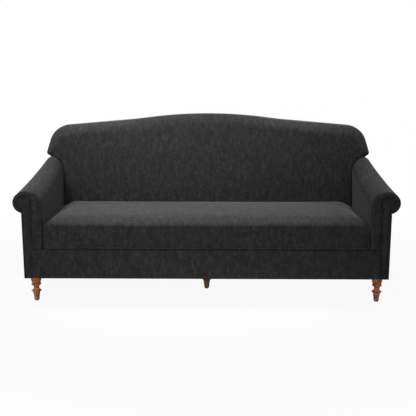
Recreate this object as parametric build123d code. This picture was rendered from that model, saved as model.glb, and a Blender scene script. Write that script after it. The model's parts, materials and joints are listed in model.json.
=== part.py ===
import os
from math import acos, atan2, cos, pi, radians, sin, sqrt, tan

from build123d import *

# Rolled-arm sofa with a camel-shaped tight back and one loose bench cushion.
# Millimetres, +Z up, the front faces -Y; the origin is on the floor under the middle of the plan.
# Left is -X and right is +X, as seen from the front.

# Overall sizes
BASE_WIDTH = 2020.0
OVERALL_DEPTH = 840.0
OVERALL_HEIGHT = 992.0
LEG_HEIGHT = 136.0
DECK_HEIGHT = 304.0
COVER = 3.0
SOFT_GAP = 0.3
HARD_GAP = 0.1

# Seat cushion
CUSHION_BOXING = 124.0
CUSHION_CROWN = 48.0
CUSHION_REAR_SHARE = 0.22
CUSHION_SIDE_GAP = 2.5
CUSHION_BACK_GAP = 6.0
CUSHION_NOSE = 8.0
CUSHION_CORNER = 42.0
CUSHION_DRAW = 4.0
CUSHION_COVER = 2.0

# Arms
ARM_WIDTH = 108.0
ROLL_FRONT_IN = 12.0
ROLL_FRONT_Z = 562.0
ROLL_FRONT_RADIUS = 54.0
ROLL_FRONT_TOP_RADIUS = 78.0
ROLL_MID_IN = 26.0
ROLL_MID_RISE = 49.0
ROLL_MID_RADIUS = 50.0
ROLL_MID_TOP_RADIUS = 81.0
ROLL_BACK_RISE = 126.0
ROLL_BACK_RADIUS = 42.0
ROLL_BACK_TOP_RADIUS = 84.0
ROLL_STOP = 2.7
PANEL_WIDTH = 42.5
PANEL_HEAD_DROP = 2.0
PANEL_HEAD_RADIUS = 33.0
PANEL_NECK_RADIUS = 13.5
PANEL_THICK = 3.0
PANEL_RECESS = 1.0
PIPING = 7.0

# Back
BACK_THICK = 182.5
BACK_THICK_RISE = 151.0
BACK_LEAN = 11.4
BACK_CROWN = 16.0
REAR_LEAN = 7.0
CAMEL_RADIUS = 2900.0
CAMEL_SLOPE = 7.69
SHOULDER_RADIUS = 2000.0
SHOULDER_SLOPE = 4.86
WING_OVER = 7.5
WING_OVER_RISE = 12.0
WING_LEAN = 16.5
WING_CORNER = 124.0
WING_RISE = 8.0
WING_TIP = 20.0
WING_TIP_OVER = 3.0
WING_ARM_GAP = 6.0
BACK_FRONT_ROUND = 60.0
BACK_REAR_ROUND = 40.0
REAR_PANEL = 3.0
BACK_EDGE_PAD = 45.0

# Wooden frame
RAIL_THICK = 25.0
FRONT_RAIL_THICK = 46.0
DECK_BUILD = 16.0
BORDER_THICK = 5.0
POST_THICK = 22.0
BACK_FRAME_THICK = 40.0
BACK_POST_WIDTH = 45.0
BACK_TOP_RAIL_DEPTH = 142.0
TACK_RAIL_RISE = 26.0
TACK_RAIL_HEIGHT = 45.0
STRUT_X = 300.0
STRUT_WIDTH = 40.0
ARM_BOARD = 4.0
ARM_BOTTOM_RAIL_HEIGHT = 45.0
ARM_TOP_RAIL_WIDTH = 38.0
ARM_TOP_RAIL_HEIGHT = 28.0
CENTRE_RAIL_WIDTH = 45.0
CENTRE_RAIL_HEIGHT = 60.0
CROSS_RAIL_X = 470.0
CORNER_BLOCK = 80.0
CORNER_BLOCK_HEIGHT = 50.0
WEBBING_THICK = 3.0
WEBBING_WIDTH = 50.0
WEBBING_COUNT = 5
WEBBING_FIRST = 275.0
WEBBING_TOP_GAP = 14.4

# Springs and deck
SPRING_COUNT = 8
SPRING_WIRE = 4.0
SPRING_WAVE = 60.0
SPRING_BENDS = 12
SPRING_LIFT = 0.3
CLIP_THICK = 1.5
CLIP_WIDTH = 30.0

# Legs
LEG_INSET = 28.5
LEG_SIDE_IN = 9.0
REAR_LEG_INSET = 58.0
CENTRE_LEG_SETBACK = 229.5
LEG_BULB_RADIUS = 28.0
LEG_RING_RADIUS = 27.0
LEG_WAIST_RADIUS = 15.5
LEG_FOOT_RING_RADIUS = 28.0
FERRULE_TOP = 47.0
FERRULE_TOP_RADIUS = 18.5
FERRULE_TOE_RADIUS = 14.5
FERRULE_FOOT_RADIUS = 8.5
FERRULE_WALL = 1.8
FERRULE_TOE_Z = 17.0
BOLT_RADIUS = 4.0
BOLT_IN_LEG = 40.0
BOLT_IN_RAIL = 30.0
NUT_RADIUS = 5.5
NUT_LENGTH = 14.0
NUT_FLANGE_RADIUS = 7.5
NUT_FLANGE = 1.5
DUST_COVER = 1.0
DUST_HOLE = 31.0

# Arm bolts
ARM_BOLT_RADIUS = 4.0
ARM_BOLT_HEAD_RADIUS = 9.0
ARM_BOLT_HEAD = 4.0
ARM_BOLT_IN_ARM = 36.0
ARM_BOLT_FROM_FRONT = 182.0
ARM_BOLT_FROM_REAR = 197.0
ARM_BOLT_HEIGHT = 24.0

# Zip
ZIP_LENGTH = 1200.0
ZIP_RISE = 58.5
ZIP_WIDTH = 24.0
ZIP_TAPE = 1.0
ZIP_COIL_WIDTH = 5.0
ZIP_COIL = 1.2
ZIP_SLIDER_LENGTH = 11.0
ZIP_SLIDER_WIDTH = 8.0
ZIP_SLIDER_THICK = 3.0
ZIP_GAP = 0.2

# Derived positions
HALF = BASE_WIDTH / 2
INNER = HALF - ARM_WIDTH
FRONT = -OVERALL_DEPTH / 2 + CUSHION_NOSE
RAIL_TOP = DECK_HEIGHT - DECK_BUILD
ROLL_FRONT_X = HALF - ROLL_FRONT_IN
ROLL_MID_X = HALF - ROLL_MID_IN
ROLL_MID_Z = ROLL_FRONT_Z + ROLL_MID_RISE
ROLL_BACK_Z = ROLL_FRONT_Z + ROLL_BACK_RISE
PANEL_HEAD_Z = ROLL_FRONT_Z - PANEL_HEAD_DROP
WING_BOTTOM = ROLL_BACK_Z + ROLL_BACK_RADIUS + WING_ARM_GAP
WING_X = HALF + WING_OVER
WING_Z = WING_BOTTOM + WING_OVER_RISE
BACK_TOP_RAIL_BOTTOM = OVERALL_HEIGHT - BACK_TOP_RAIL_DEPTH
BACK_THICK_Z = DECK_HEIGHT + BACK_THICK_RISE
PANEL_OUTER = HALF - PIPING
PANEL_INNER = PANEL_OUTER - PANEL_WIDTH
HEAD_X = PANEL_INNER + PANEL_HEAD_RADIUS
BASE_Z = LEG_HEIGHT
DECK_TOP = DECK_HEIGHT - SOFT_GAP
REAR_TOP_Z = OVERALL_HEIGHT - BACK_REAR_ROUND - 5
REAR_TAN = tan(radians(REAR_LEAN))
REAR_Y = OVERALL_DEPTH / 2 - REAR_PANEL / cos(radians(REAR_LEAN)) - (REAR_TOP_Z - BASE_Z) * REAR_TAN
BACK_TAN = tan(radians(BACK_LEAN))
BACK_Y = REAR_Y + (BACK_THICK_Z - BASE_Z) * REAR_TAN - BACK_THICK
ROLL_LENGTH = BACK_Y + (WING_BOTTOM - BACK_THICK_Z) * BACK_TAN - FRONT - ROLL_STOP
ARM_BOLT_Y = (FRONT + ARM_BOLT_FROM_FRONT, REAR_Y - ARM_BOLT_FROM_REAR)
POST_FRONT = FRONT + PANEL_RECESS + PANEL_THICK
POST_BACK = POST_FRONT + POST_THICK
RAIL_FRONT = FRONT + BORDER_THICK
LEG_X = PANEL_INNER - LEG_SIDE_IN
WEBBING_Z = BACK_FRAME_THICK + WEBBING_THICK
PAD_BACK = WEBBING_Z
REAR_PLANE = Plane(
    origin=(0, REAR_Y, BASE_Z),
    x_dir=(1, 0, 0),
    z_dir=(0, -cos(radians(REAR_LEAN)), sin(radians(REAR_LEAN))),
)


def block(x0, x1, y0, y1, z0, z1):
    return Pos((x0 + x1) / 2, (y0 + y1) / 2, (z0 + z1) / 2) * Box(x1 - x0, y1 - y0, z1 - z0)


# Box laid out on the sloping rear plane: v runs up the slope, w runs from it towards the front
def rear_block(x0, x1, v0, v1, w0, w1):
    return REAR_PLANE * block(x0, x1, v0, v1, w0, w1)


def rod(x, y, z0, z1, radius):
    return Pos(x, y, (z0 + z1) / 2) * Cylinder(radius, z1 - z0)


def upright(y):
    return Plane(origin=(0, y, 0), x_dir=(1, 0, 0), z_dir=(0, -1, 0))


def group(solids):
    return Compound([solid for item in solids for solid in item.solids()])


def polar(centre, radius, angle):
    return (centre[0] + radius * cos(angle), centre[1] + radius * sin(angle))


def arc(centre, radius, start, end):
    middle = (start + end) / 2
    return ThreePointArc(
        polar(centre, radius, start), polar(centre, radius, middle), polar(centre, radius, end)
    )


def mirrored(shape):
    return mirror(shape, about=Plane.YZ)


BEHIND = rear_block(-2000, 2000, -800, 2000, -900, 0)


# Arms

# Roll settings at a share of the roll's length: centre, roll radius and radius of the inner top arc
def roll_at(station):
    if station == 0:
        return (ROLL_FRONT_X, ROLL_FRONT_Z, ROLL_FRONT_RADIUS, ROLL_FRONT_TOP_RADIUS)
    if station == 1:
        return (ROLL_MID_X, ROLL_MID_Z, ROLL_MID_RADIUS, ROLL_MID_TOP_RADIUS)
    return (HALF - ROLL_BACK_RADIUS, ROLL_BACK_Z, ROLL_BACK_RADIUS, ROLL_BACK_TOP_RADIUS)


def neck_height(station, inset):
    x, z, radius, top_radius = roll_at(station)
    share = min(1.0, (HALF - inset - x) / (radius - inset))
    return z - (radius - inset) * sqrt(max(0.0, 1 - share * share))


# Centre of the inner top arc, and the angle where it runs into the roll arc
def top_arc(station):
    x, z, radius, top_radius = roll_at(station)
    reach = top_radius - radius
    across = x - INNER - top_radius
    rise = sqrt(max(0.0, reach * reach - across * across))
    turn = atan2(rise, across) if reach > 0 else pi / 4
    return (INNER + top_radius, z - rise), turn


# Section of the soft arm: inner face, inner top arc, roll arc, then the underside back to the frame
# A positive drop carries the underside that far below the outer form's own neck
def arm_section(y, station, inset, drop):
    x, z, radius, top_radius = roll_at(station)
    top, turn = top_arc(station)
    share = min(1.0, (HALF - inset - x) / (radius - inset))
    end = -acos(share)
    inner = INNER + inset
    neck = polar((x, z), radius - inset, end)
    edges = [
        Line((inner, DECK_HEIGHT), (inner, top[1])),
        arc(top, top_radius - inset, pi, turn),
        arc((x, z), radius - inset, turn, end),
    ]
    if drop > 0:
        low = (neck[0], neck_height(station, 0) - drop)
        edges.append(Line(neck, low))
        neck = low
    edges.append(Line(neck, (PANEL_INNER, neck[1])))
    edges.append(Line((PANEL_INNER, neck[1]), (PANEL_INNER, DECK_HEIGHT)))
    edges.append(Line((PANEL_INNER, DECK_HEIGHT), (inner, DECK_HEIGHT)))
    return upright(y) * make_face(edges)


def loft_faces(faces, ruled=False):
    return Solid.make_loft([face.faces()[0].outer_wire() for face in faces], ruled)


def arm_form(inset, drop, start):
    stations = [FRONT + start, FRONT + ROLL_LENGTH / 2, FRONT + ROLL_LENGTH]
    faces = [arm_section(y, i, inset, drop) for i, y in enumerate(stations)]
    rear = arm_section(FRONT + ROLL_LENGTH, 2, inset, drop)
    run = extrude(rear, amount=OVERALL_DEPTH, dir=(0, 1, 0))
    return Part() + loft_faces(faces) + run - BEHIND


# Scroll outline of the arm front, grown outwards by a distance from the panel's own edge
def scroll_face(grow, bottom):
    head = (HEAD_X, PANEL_HEAD_Z)
    radius = PANEL_HEAD_RADIUS + grow
    fillet_radius = PANEL_NECK_RADIUS - grow
    across = PANEL_OUTER + PANEL_NECK_RADIUS - HEAD_X
    reach = PANEL_HEAD_RADIUS + PANEL_NECK_RADIUS
    drop = sqrt(reach * reach - across * across)
    turn = -atan2(drop, across)
    neck = (PANEL_OUTER + PANEL_NECK_RADIUS, PANEL_HEAD_Z - drop)
    left = PANEL_INNER - grow
    right = PANEL_OUTER + grow
    return [
        Line((left, bottom), (left, PANEL_HEAD_Z)),
        arc(head, radius, pi, pi / 2),
        arc(head, radius, pi / 2, turn),
        arc(neck, fillet_radius, pi + turn, pi),
        Line((right, neck[1]), (right, bottom)),
    ]


def scroll_solid(grow, bottom, y0, y1):
    edges = scroll_face(grow, bottom)
    left = PANEL_INNER - grow
    right = PANEL_OUTER + grow
    edges.append(Line((right, bottom), (left, bottom)))
    return extrude(upright(y0) * make_face(edges), amount=y1 - y0, dir=(0, 1, 0))


def make_arm():
    front_post = scroll_solid(0, BASE_Z, POST_FRONT, POST_BACK)
    front_panel = scroll_solid(0, BASE_Z, FRONT + PANEL_RECESS, POST_FRONT)
    path = Wire([edge for curve in scroll_face(PIPING / 2, BASE_Z) for edge in curve.edges()])
    path = upright(FRONT + PANEL_RECESS) * path
    start = path @ 0
    ring = Plane(origin=start, z_dir=(0, 0, 1)) * Circle(PIPING / 2 - HARD_GAP)
    piping = sweep(ring, path=path)
    channel = scroll_solid(PIPING, BASE_Z - 10, FRONT - 10, FRONT + PANEL_RECESS + PIPING / 2)

    rear_front_w = BACK_FRAME_THICK + 5
    rear_post_top = (neck_height(2, 0) - BASE_Z - 2) / cos(radians(REAR_LEAN))
    rear_post = rear_block(PANEL_INNER, HALF - COVER, 0, rear_post_top, 0, rear_front_w)
    keep = block(0, 2000, -1000, 1000, BASE_Z, neck_height(2, 0))
    rear_post = rear_post & keep
    behind_post = rear_block(-2000, 2000, -800, 2000, -900, rear_front_w)

    bottom_rail = block(
        PANEL_INNER, HALF - COVER, POST_BACK, 900, BASE_Z, BASE_Z + ARM_BOTTOM_RAIL_HEIGHT
    )
    bottom_rail = bottom_rail - behind_post

    front_x = HEAD_X
    back_x = INNER + ARM_WIDTH * 0.66
    back_z = neck_height(2, 0) + ARM_TOP_RAIL_HEIGHT / 2 - 6
    rail_end = FRONT + ROLL_LENGTH + 80
    ends = [(front_x, PANEL_HEAD_Z, POST_BACK), (back_x, back_z, rail_end)]
    rail_faces = [
        upright(y) * (Pos(x, z) * Rectangle(ARM_TOP_RAIL_WIDTH, ARM_TOP_RAIL_HEIGHT)) for x, z, y in ends
    ]
    top_rail = Part() + loft_faces(rail_faces, True) - BEHIND - rear_post

    board = block(
        PANEL_INNER - ARM_BOARD, PANEL_INNER, POST_BACK, 900, DECK_HEIGHT, neck_height(0, 0)
    )
    board = board - BEHIND

    outer = arm_form(0, 0, 0)
    cover = outer - arm_form(COVER, 2, COVER) - channel - front_post - top_rail
    padding = arm_form(COVER, 0, COVER) - channel - front_post - top_rail - board

    stations = [FRONT + PANEL_RECESS + PIPING / 2, FRONT + ROLL_LENGTH / 2, FRONT + ROLL_LENGTH]
    sides = []
    for i, y in enumerate(stations):
        top = neck_height(i, 0) - SOFT_GAP
        low, high = HALF - COVER, HALF
        corners = [(low, BASE_Z), (high, BASE_Z), (high, top), (low, top), (low, BASE_Z)]
        sides.append(upright(y) * make_face(Polyline(corners)))
    run = extrude(sides[2], amount=OVERALL_DEPTH, dir=(0, 1, 0))
    outside = Part() + loft_faces(sides) + run - BEHIND - front_post - channel
    return {
        "arm_front_post": front_post,
        "arm_front_panel": front_panel,
        "arm_piping": piping,
        "arm_rear_post": rear_post,
        "arm_bottom_rail": bottom_rail,
        "arm_top_rail": top_rail,
        "arm_inner_board": board,
        "arm_cover": cover,
        "arm_padding": padding,
        "outside_arm_panel": outside,
    }


# Back

# Settings of the back's outline: camel arc, hollow arc, shoulder line, corner and leaning side
def back_corner():
    slope = radians(CAMEL_SLOPE)
    easy = radians(SHOULDER_SLOPE)
    crest = (0.0, OVERALL_HEIGHT - CAMEL_RADIUS)
    hollow = (
        crest[0] + (CAMEL_RADIUS + SHOULDER_RADIUS) * sin(slope),
        crest[1] + (CAMEL_RADIUS + SHOULDER_RADIUS) * cos(slope),
    )
    end = (hollow[0] - SHOULDER_RADIUS * sin(easy), hollow[1] - SHOULDER_RADIUS * cos(easy))
    lean = radians(WING_LEAN)
    ax, az = sin(easy), cos(easy)
    bx, bz = cos(lean), sin(lean)
    a = end[0] * ax + end[1] * az - WING_CORNER
    b = WING_X * bx + WING_Z * bz - WING_CORNER
    det = ax * bz - az * bx
    corner = ((a * bz - az * b) / det, (ax * b - a * bx) / det)
    return crest, hollow, corner


def back_outline(inset, bottom):
    crest, hollow, corner = back_corner()
    slope = radians(CAMEL_SLOPE)
    easy = radians(SHOULDER_SLOPE)
    lean = radians(WING_LEAN)
    over = arc(crest, CAMEL_RADIUS - inset, pi / 2 - slope, pi / 2 + slope)
    dip = arc(hollow, SHOULDER_RADIUS + inset, 1.5 * pi - slope, 1.5 * pi - easy)
    bend = arc(corner, WING_CORNER - inset, pi / 2 - easy, lean)
    shoulder = Line(dip @ 1, bend @ 0)
    start = bend @ 1
    low = (start.X + (start.Y - bottom) * tan(lean), bottom)
    side = Line(start, low)
    half = [dip, shoulder, bend, side]
    other = [mirror(curve, about=Plane.YZ) for curve in half]
    floor_line = Line(low, (-low[0], bottom))
    return make_face([over, floor_line] + half + other)


def back_prism(inset, bottom):
    return extrude(upright(-600) * back_outline(inset, bottom), amount=1600, dir=(0, 1, 0))


# Front line of the back at a height, without its crown
def back_line(z):
    return BACK_Y + (z - BACK_THICK_Z) * BACK_TAN


def back_face(z):
    low, high = DECK_HEIGHT, OVERALL_HEIGHT
    share = (2 * z - low - high) / (high - low)
    return back_line(z) - BACK_CROWN * (1 - share * share)


def rear_line(z):
    return REAR_Y + (z - BASE_Z) * REAR_TAN


# Notch of the back over the right arm: up the arm's inner face, over its top along the arm's rear
# section, then out along the wing's rising underside and round its tip
def arm_notch(inset):
    x, z, radius, top_radius = roll_at(2)
    top, turn = top_arc(2)
    gap = SOFT_GAP + inset
    leave = min(turn, pi / 2 + radians(WING_RISE))
    slope = leave - pi / 2
    lean = radians(WING_LEAN)
    start = polar((x, z), radius + gap, leave)
    tip = WING_TIP - inset
    ax, az = sin(slope), -cos(slope)
    bx, bz = cos(lean), sin(lean)
    a = start[0] * ax + start[1] * az - tip
    b = WING_X * bx + WING_Z * bz + WING_TIP_OVER - WING_TIP
    det = ax * bz - az * bx
    centre = ((a * bz - az * b) / det, (ax * b - a * bx) / det)
    first = polar(centre, tip, slope - pi / 2)
    last = polar(centre, tip, lean)
    clear = (last[0] + ARM_WIDTH * 4 * bx, last[1] + ARM_WIDTH * 4 * bz)
    inner = INNER - gap
    edges = [Line((inner, 0), (inner, top[1])), arc(top, top_radius + gap, pi, turn)]
    if turn > leave:
        edges.append(arc((x, z), radius + gap, turn, leave))
    edges.append(Line(start, first))
    edges.append(arc(centre, tip, slope - pi / 2, lean))
    edges.append(Line(last, clear))
    edges.append(Line(clear, (clear[0], 0)))
    edges.append(Line((clear[0], 0), (inner, 0)))
    return extrude(upright(-600) * make_face(edges), amount=1600, dir=(0, 1, 0))


# Side profile of the back: crowned front, sloping rear plane; then rounded along its outline
def back_form(inset, rear):
    low, high = DECK_HEIGHT, OVERALL_HEIGHT + 60
    middle = (DECK_HEIGHT + OVERALL_HEIGHT) / 2
    ahead = inset / cos(radians(BACK_LEAN))
    front = ThreePointArc(
        (back_face(low) + ahead, low), (back_face(middle) + ahead, middle), (back_face(high) + ahead, high)
    )
    rear_low = rear_line(low) - rear
    rear_high = rear_line(high) - rear
    edges = [
        front,
        Line((back_face(high) + ahead, high), (rear_high, high)),
        Line((rear_high, high), (rear_low, low)),
        Line((rear_low, low), (back_face(low) + ahead, low)),
    ]
    body = extrude(Plane.YZ * make_face(edges), amount=1400, both=True)
    form = body & back_prism(inset, DECK_HEIGHT)
    ends = form.faces().sort_by(Axis.Y)
    for face, radius in ((ends[0], BACK_FRONT_ROUND), (ends[-1], BACK_REAR_ROUND)):
        chosen = [e for e in face.edges() if e.bounding_box().max.Z > DECK_HEIGHT + 1]
        match = [
            e for e in form.edges() if any((e.center() - c.center()).length < 0.01 for c in chosen)
        ]
        form = fillet(match, radius - inset)
    notch = arm_notch(inset)
    return form - notch - mirrored(notch)


def make_back():
    outer = back_form(0, 0)
    inner = back_form(COVER, 0)
    cover = outer - inner
    zone = back_prism(BACK_EDGE_PAD, DECK_HEIGHT)
    notch = INNER - SOFT_GAP - COVER
    for x0, x1 in ((notch, 2000), (-2000, -notch)):
        zone = zone - block(x0, x1, -1000, 1000, 0, WING_BOTTOM + COVER + 5)
    frame_slab = rear_block(-2000, 2000, -500, 2000, 0, BACK_FRAME_THICK)
    pad_slab = rear_block(-2000, 2000, -500, 2000, -50, PAD_BACK)
    padding = inner - (zone & pad_slab)
    plate = zone & frame_slab
    top_rail = plate & block(-2000, 2000, -1000, 1000, BACK_TOP_RAIL_BOTTOM, 2000)
    lower = plate & block(-2000, 2000, -1000, 1000, WING_BOTTOM + COVER + 5, BACK_TOP_RAIL_BOTTOM)
    wing = lower & block(notch, 2000, -1000, 1000, 0, 2000)
    post_x = notch - BACK_POST_WIDTH
    under_top = block(-2000, 2000, -1000, 1000, BASE_Z, BACK_TOP_RAIL_BOTTOM)
    post = rear_block(post_x, notch, -50, 1200, 0, BACK_FRAME_THICK) & under_top
    tack_low = DECK_HEIGHT + TACK_RAIL_RISE - BASE_Z
    tack_rail = rear_block(-post_x, post_x, tack_low, tack_low + TACK_RAIL_HEIGHT, 0, BACK_FRAME_THICK)
    struts = []
    for x in (-STRUT_X, STRUT_X):
        strut = rear_block(
            x - STRUT_WIDTH / 2, x + STRUT_WIDTH / 2, tack_low + TACK_RAIL_HEIGHT, 1200, 0, BACK_FRAME_THICK
        )
        struts.append(strut & under_top)
    straps = []
    rail_v = (BACK_TOP_RAIL_BOTTOM - BASE_Z) / cos(radians(REAR_LEAN))
    pitch = (rail_v - WEBBING_TOP_GAP - WEBBING_FIRST - WEBBING_WIDTH) / (WEBBING_COUNT - 1)
    for i in range(WEBBING_COUNT):
        v = WEBBING_FIRST + i * pitch
        straps.append(
            rear_block(-notch + 5, notch - 5, v, v + WEBBING_WIDTH, BACK_FRAME_THICK, WEBBING_Z)
        )
    panel_slab = rear_block(-2000, 2000, -500, 2000, -REAR_PANEL, 0)
    upper = back_prism(BACK_REAR_ROUND + 5, DECK_HEIGHT) & block(-2000, 2000, -1000, 1000, WING_BOTTOM, 2000)
    lower_panel = block(-HALF, HALF, -1000, 1000, BASE_Z, WING_BOTTOM)
    rear_panel = panel_slab & (upper + lower_panel)
    return {
        "back_cover": cover,
        "back_padding": padding,
        "back_top_rail": top_rail,
        "back_post_left": mirrored(post),
        "back_post_right": post,
        "back_tack_rail": tack_rail,
        "back_struts": group(struts),
        "wing_plate_left": mirrored(wing),
        "wing_plate_right": wing,
        "back_webbing": group(straps),
        "outside_back_panel": rear_panel,
    }


# Legs

LEG_SPOTS = {
    "front_left": (-LEG_X, FRONT + LEG_INSET),
    "front_right": (LEG_X, FRONT + LEG_INSET),
    "rear_left": (-LEG_X, REAR_Y - REAR_LEG_INSET),
    "rear_right": (LEG_X, REAR_Y - REAR_LEG_INSET),
    "centre": (0.0, FRONT + LEG_INSET + CENTRE_LEG_SETBACK),
}


# Turned leg: bulb, ring, hollow neck, foot ring and a tapered tip that fills the ferrule
def make_leg():
    turn = LEG_HEIGHT - FERRULE_TOP
    bulb_low = FERRULE_TOP + 0.62 * turn
    ring = FERRULE_TOP + 0.53 * turn
    waist = FERRULE_TOP + 0.36 * turn
    foot = FERRULE_TOP + 0.125 * turn
    groove = LEG_BULB_RADIUS * 0.77
    tip_top = FERRULE_TOP_RADIUS - FERRULE_WALL - HARD_GAP
    tip_low = FERRULE_TOE_RADIUS - FERRULE_WALL - HARD_GAP
    tip_z = FERRULE_TOE_Z + HARD_GAP
    bulb = ThreePointArc(
        (LEG_BULB_RADIUS, LEG_HEIGHT), (LEG_BULB_RADIUS, bulb_low + 0.2 * turn), (groove, bulb_low)
    )
    bead = ThreePointArc(
        (groove, bulb_low - 1), (LEG_RING_RADIUS, ring + 2), (LEG_RING_RADIUS - 2, ring - 2)
    )
    hollow = ThreePointArc(
        (LEG_RING_RADIUS - 2, ring - 2),
        (LEG_WAIST_RADIUS, waist),
        (LEG_FOOT_RING_RADIUS - 1, foot + 2),
    )
    under = ThreePointArc(
        (LEG_FOOT_RING_RADIUS, foot), (LEG_FOOT_RING_RADIUS * 0.78, foot - 5), (tip_top + 2, FERRULE_TOP)
    )
    outline = [
        Line((0, LEG_HEIGHT), (LEG_BULB_RADIUS, LEG_HEIGHT)),
        bulb,
        Line((groove, bulb_low), (groove, bulb_low - 1)),
        bead,
        hollow,
        Line((LEG_FOOT_RING_RADIUS - 1, foot + 2), (LEG_FOOT_RING_RADIUS, foot)),
        under,
        Line((tip_top + 2, FERRULE_TOP), (tip_top, FERRULE_TOP)),
        Line((tip_top, FERRULE_TOP), (tip_low, tip_z)),
        Line((tip_low, tip_z), (0, tip_z)),
        Line((0, tip_z), (0, LEG_HEIGHT)),
    ]
    body = revolve(Plane.XZ * make_face(outline), axis=Axis.Z)
    return body - rod(0, 0, LEG_HEIGHT - BOLT_IN_LEG - HARD_GAP, LEG_HEIGHT + 10, BOLT_RADIUS + HARD_GAP)


# Ferrule: tapered cup with a beaded rim and a rounded toe on a flat foot
def make_ferrule():
    bead = 4.0
    top = FERRULE_TOP - SOFT_GAP
    lip = FERRULE_TOP_RADIUS
    toe = ThreePointArc(
        (FERRULE_TOE_RADIUS, FERRULE_TOE_Z),
        (FERRULE_TOE_RADIUS * 0.9, FERRULE_TOE_Z * 0.3),
        (FERRULE_FOOT_RADIUS, 0),
    )
    inner_top = FERRULE_TOP_RADIUS - FERRULE_WALL
    inner_low = FERRULE_TOE_RADIUS - FERRULE_WALL
    outline = [
        Line((0, 0), (FERRULE_FOOT_RADIUS, 0)),
        toe,
        Line((FERRULE_TOE_RADIUS, FERRULE_TOE_Z), (lip, top - bead)),
        ThreePointArc((lip, top - bead), (lip + 1.2, top - bead / 2), (lip, top)),
        Line((lip, top), (inner_top, top)),
        Line((inner_top, top), (inner_low, FERRULE_TOE_Z)),
        Line((inner_low, FERRULE_TOE_Z), (0, FERRULE_TOE_Z)),
        Line((0, FERRULE_TOE_Z), (0, 0)),
    ]
    return revolve(Plane.XZ * make_face(outline), axis=Axis.Z)


def make_legs():
    leg = make_leg()
    ferrule = make_ferrule()
    bolt = rod(0, 0, BASE_Z - BOLT_IN_LEG, BASE_Z + BOLT_IN_RAIL, BOLT_RADIUS)
    nut = rod(0, 0, BASE_Z, BASE_Z + NUT_LENGTH, NUT_RADIUS)
    nut = nut + rod(0, 0, BASE_Z, BASE_Z + NUT_FLANGE, NUT_FLANGE_RADIUS)
    nut = nut - rod(0, 0, BASE_Z - 5, BASE_Z + NUT_LENGTH + 5, BOLT_RADIUS + HARD_GAP)
    pieces = {}
    for name, (x, y) in LEG_SPOTS.items():
        pieces["leg_" + name] = Pos(x, y, 0) * leg
    pieces["leg_ferrules"] = group([Pos(x, y, 0) * ferrule for x, y in LEG_SPOTS.values()])
    pieces["leg_bolts"] = group([Pos(x, y, 0) * bolt for x, y in LEG_SPOTS.values()])
    pieces["leg_nuts"] = group([Pos(x, y, 0) * nut for x, y in LEG_SPOTS.values()])
    return pieces


# Room that a leg's bolt and nut take in the rail above it
def leg_bores():
    bores = Part()
    for x, y in LEG_SPOTS.values():
        bores = bores + rod(x, y, BASE_Z - 1, BASE_Z + NUT_FLANGE + HARD_GAP, NUT_FLANGE_RADIUS + HARD_GAP)
        bores = bores + rod(x, y, BASE_Z - 1, BASE_Z + NUT_LENGTH + HARD_GAP, NUT_RADIUS + HARD_GAP)
        bores = bores + rod(x, y, BASE_Z - 1, BASE_Z + BOLT_IN_RAIL + HARD_GAP, BOLT_RADIUS + HARD_GAP)
    return bores


# Seat frame

def arm_bolt_shape(x0, x1, radius, head_radius, y):
    turned = Rot(0, 90, 0)
    z = BASE_Z + ARM_BOLT_HEIGHT
    shank = Pos((x0 + x1) / 2, y, z) * turned * Cylinder(radius, x1 - x0)
    head_x = x0 - ARM_BOLT_HEAD / 2
    return shank + Pos(head_x, y, z) * turned * Cylinder(head_radius, ARM_BOLT_HEAD)


# One flat zigzag wire with round bends, drawn along +Y from the origin
def spring_path(span):
    step = span / (2 * SPRING_BENDS)
    reach = SPRING_WAVE / 2 - step / 2
    edges = []
    for i in range(2 * SPRING_BENDS):
        side = 1 if i % 2 == 0 else -1
        y = i * step
        edges.append(Line((-side * reach, y), (side * reach, y)))
        edges.append(
            ThreePointArc(
                (side * reach, y), (side * (reach + step / 2), y + step / 2), (side * reach, y + step)
            )
        )
    edges.append(Line((reach * -1, span), (reach, span)))
    return Wire([edge for curve in edges for edge in curve.edges()])


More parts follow.
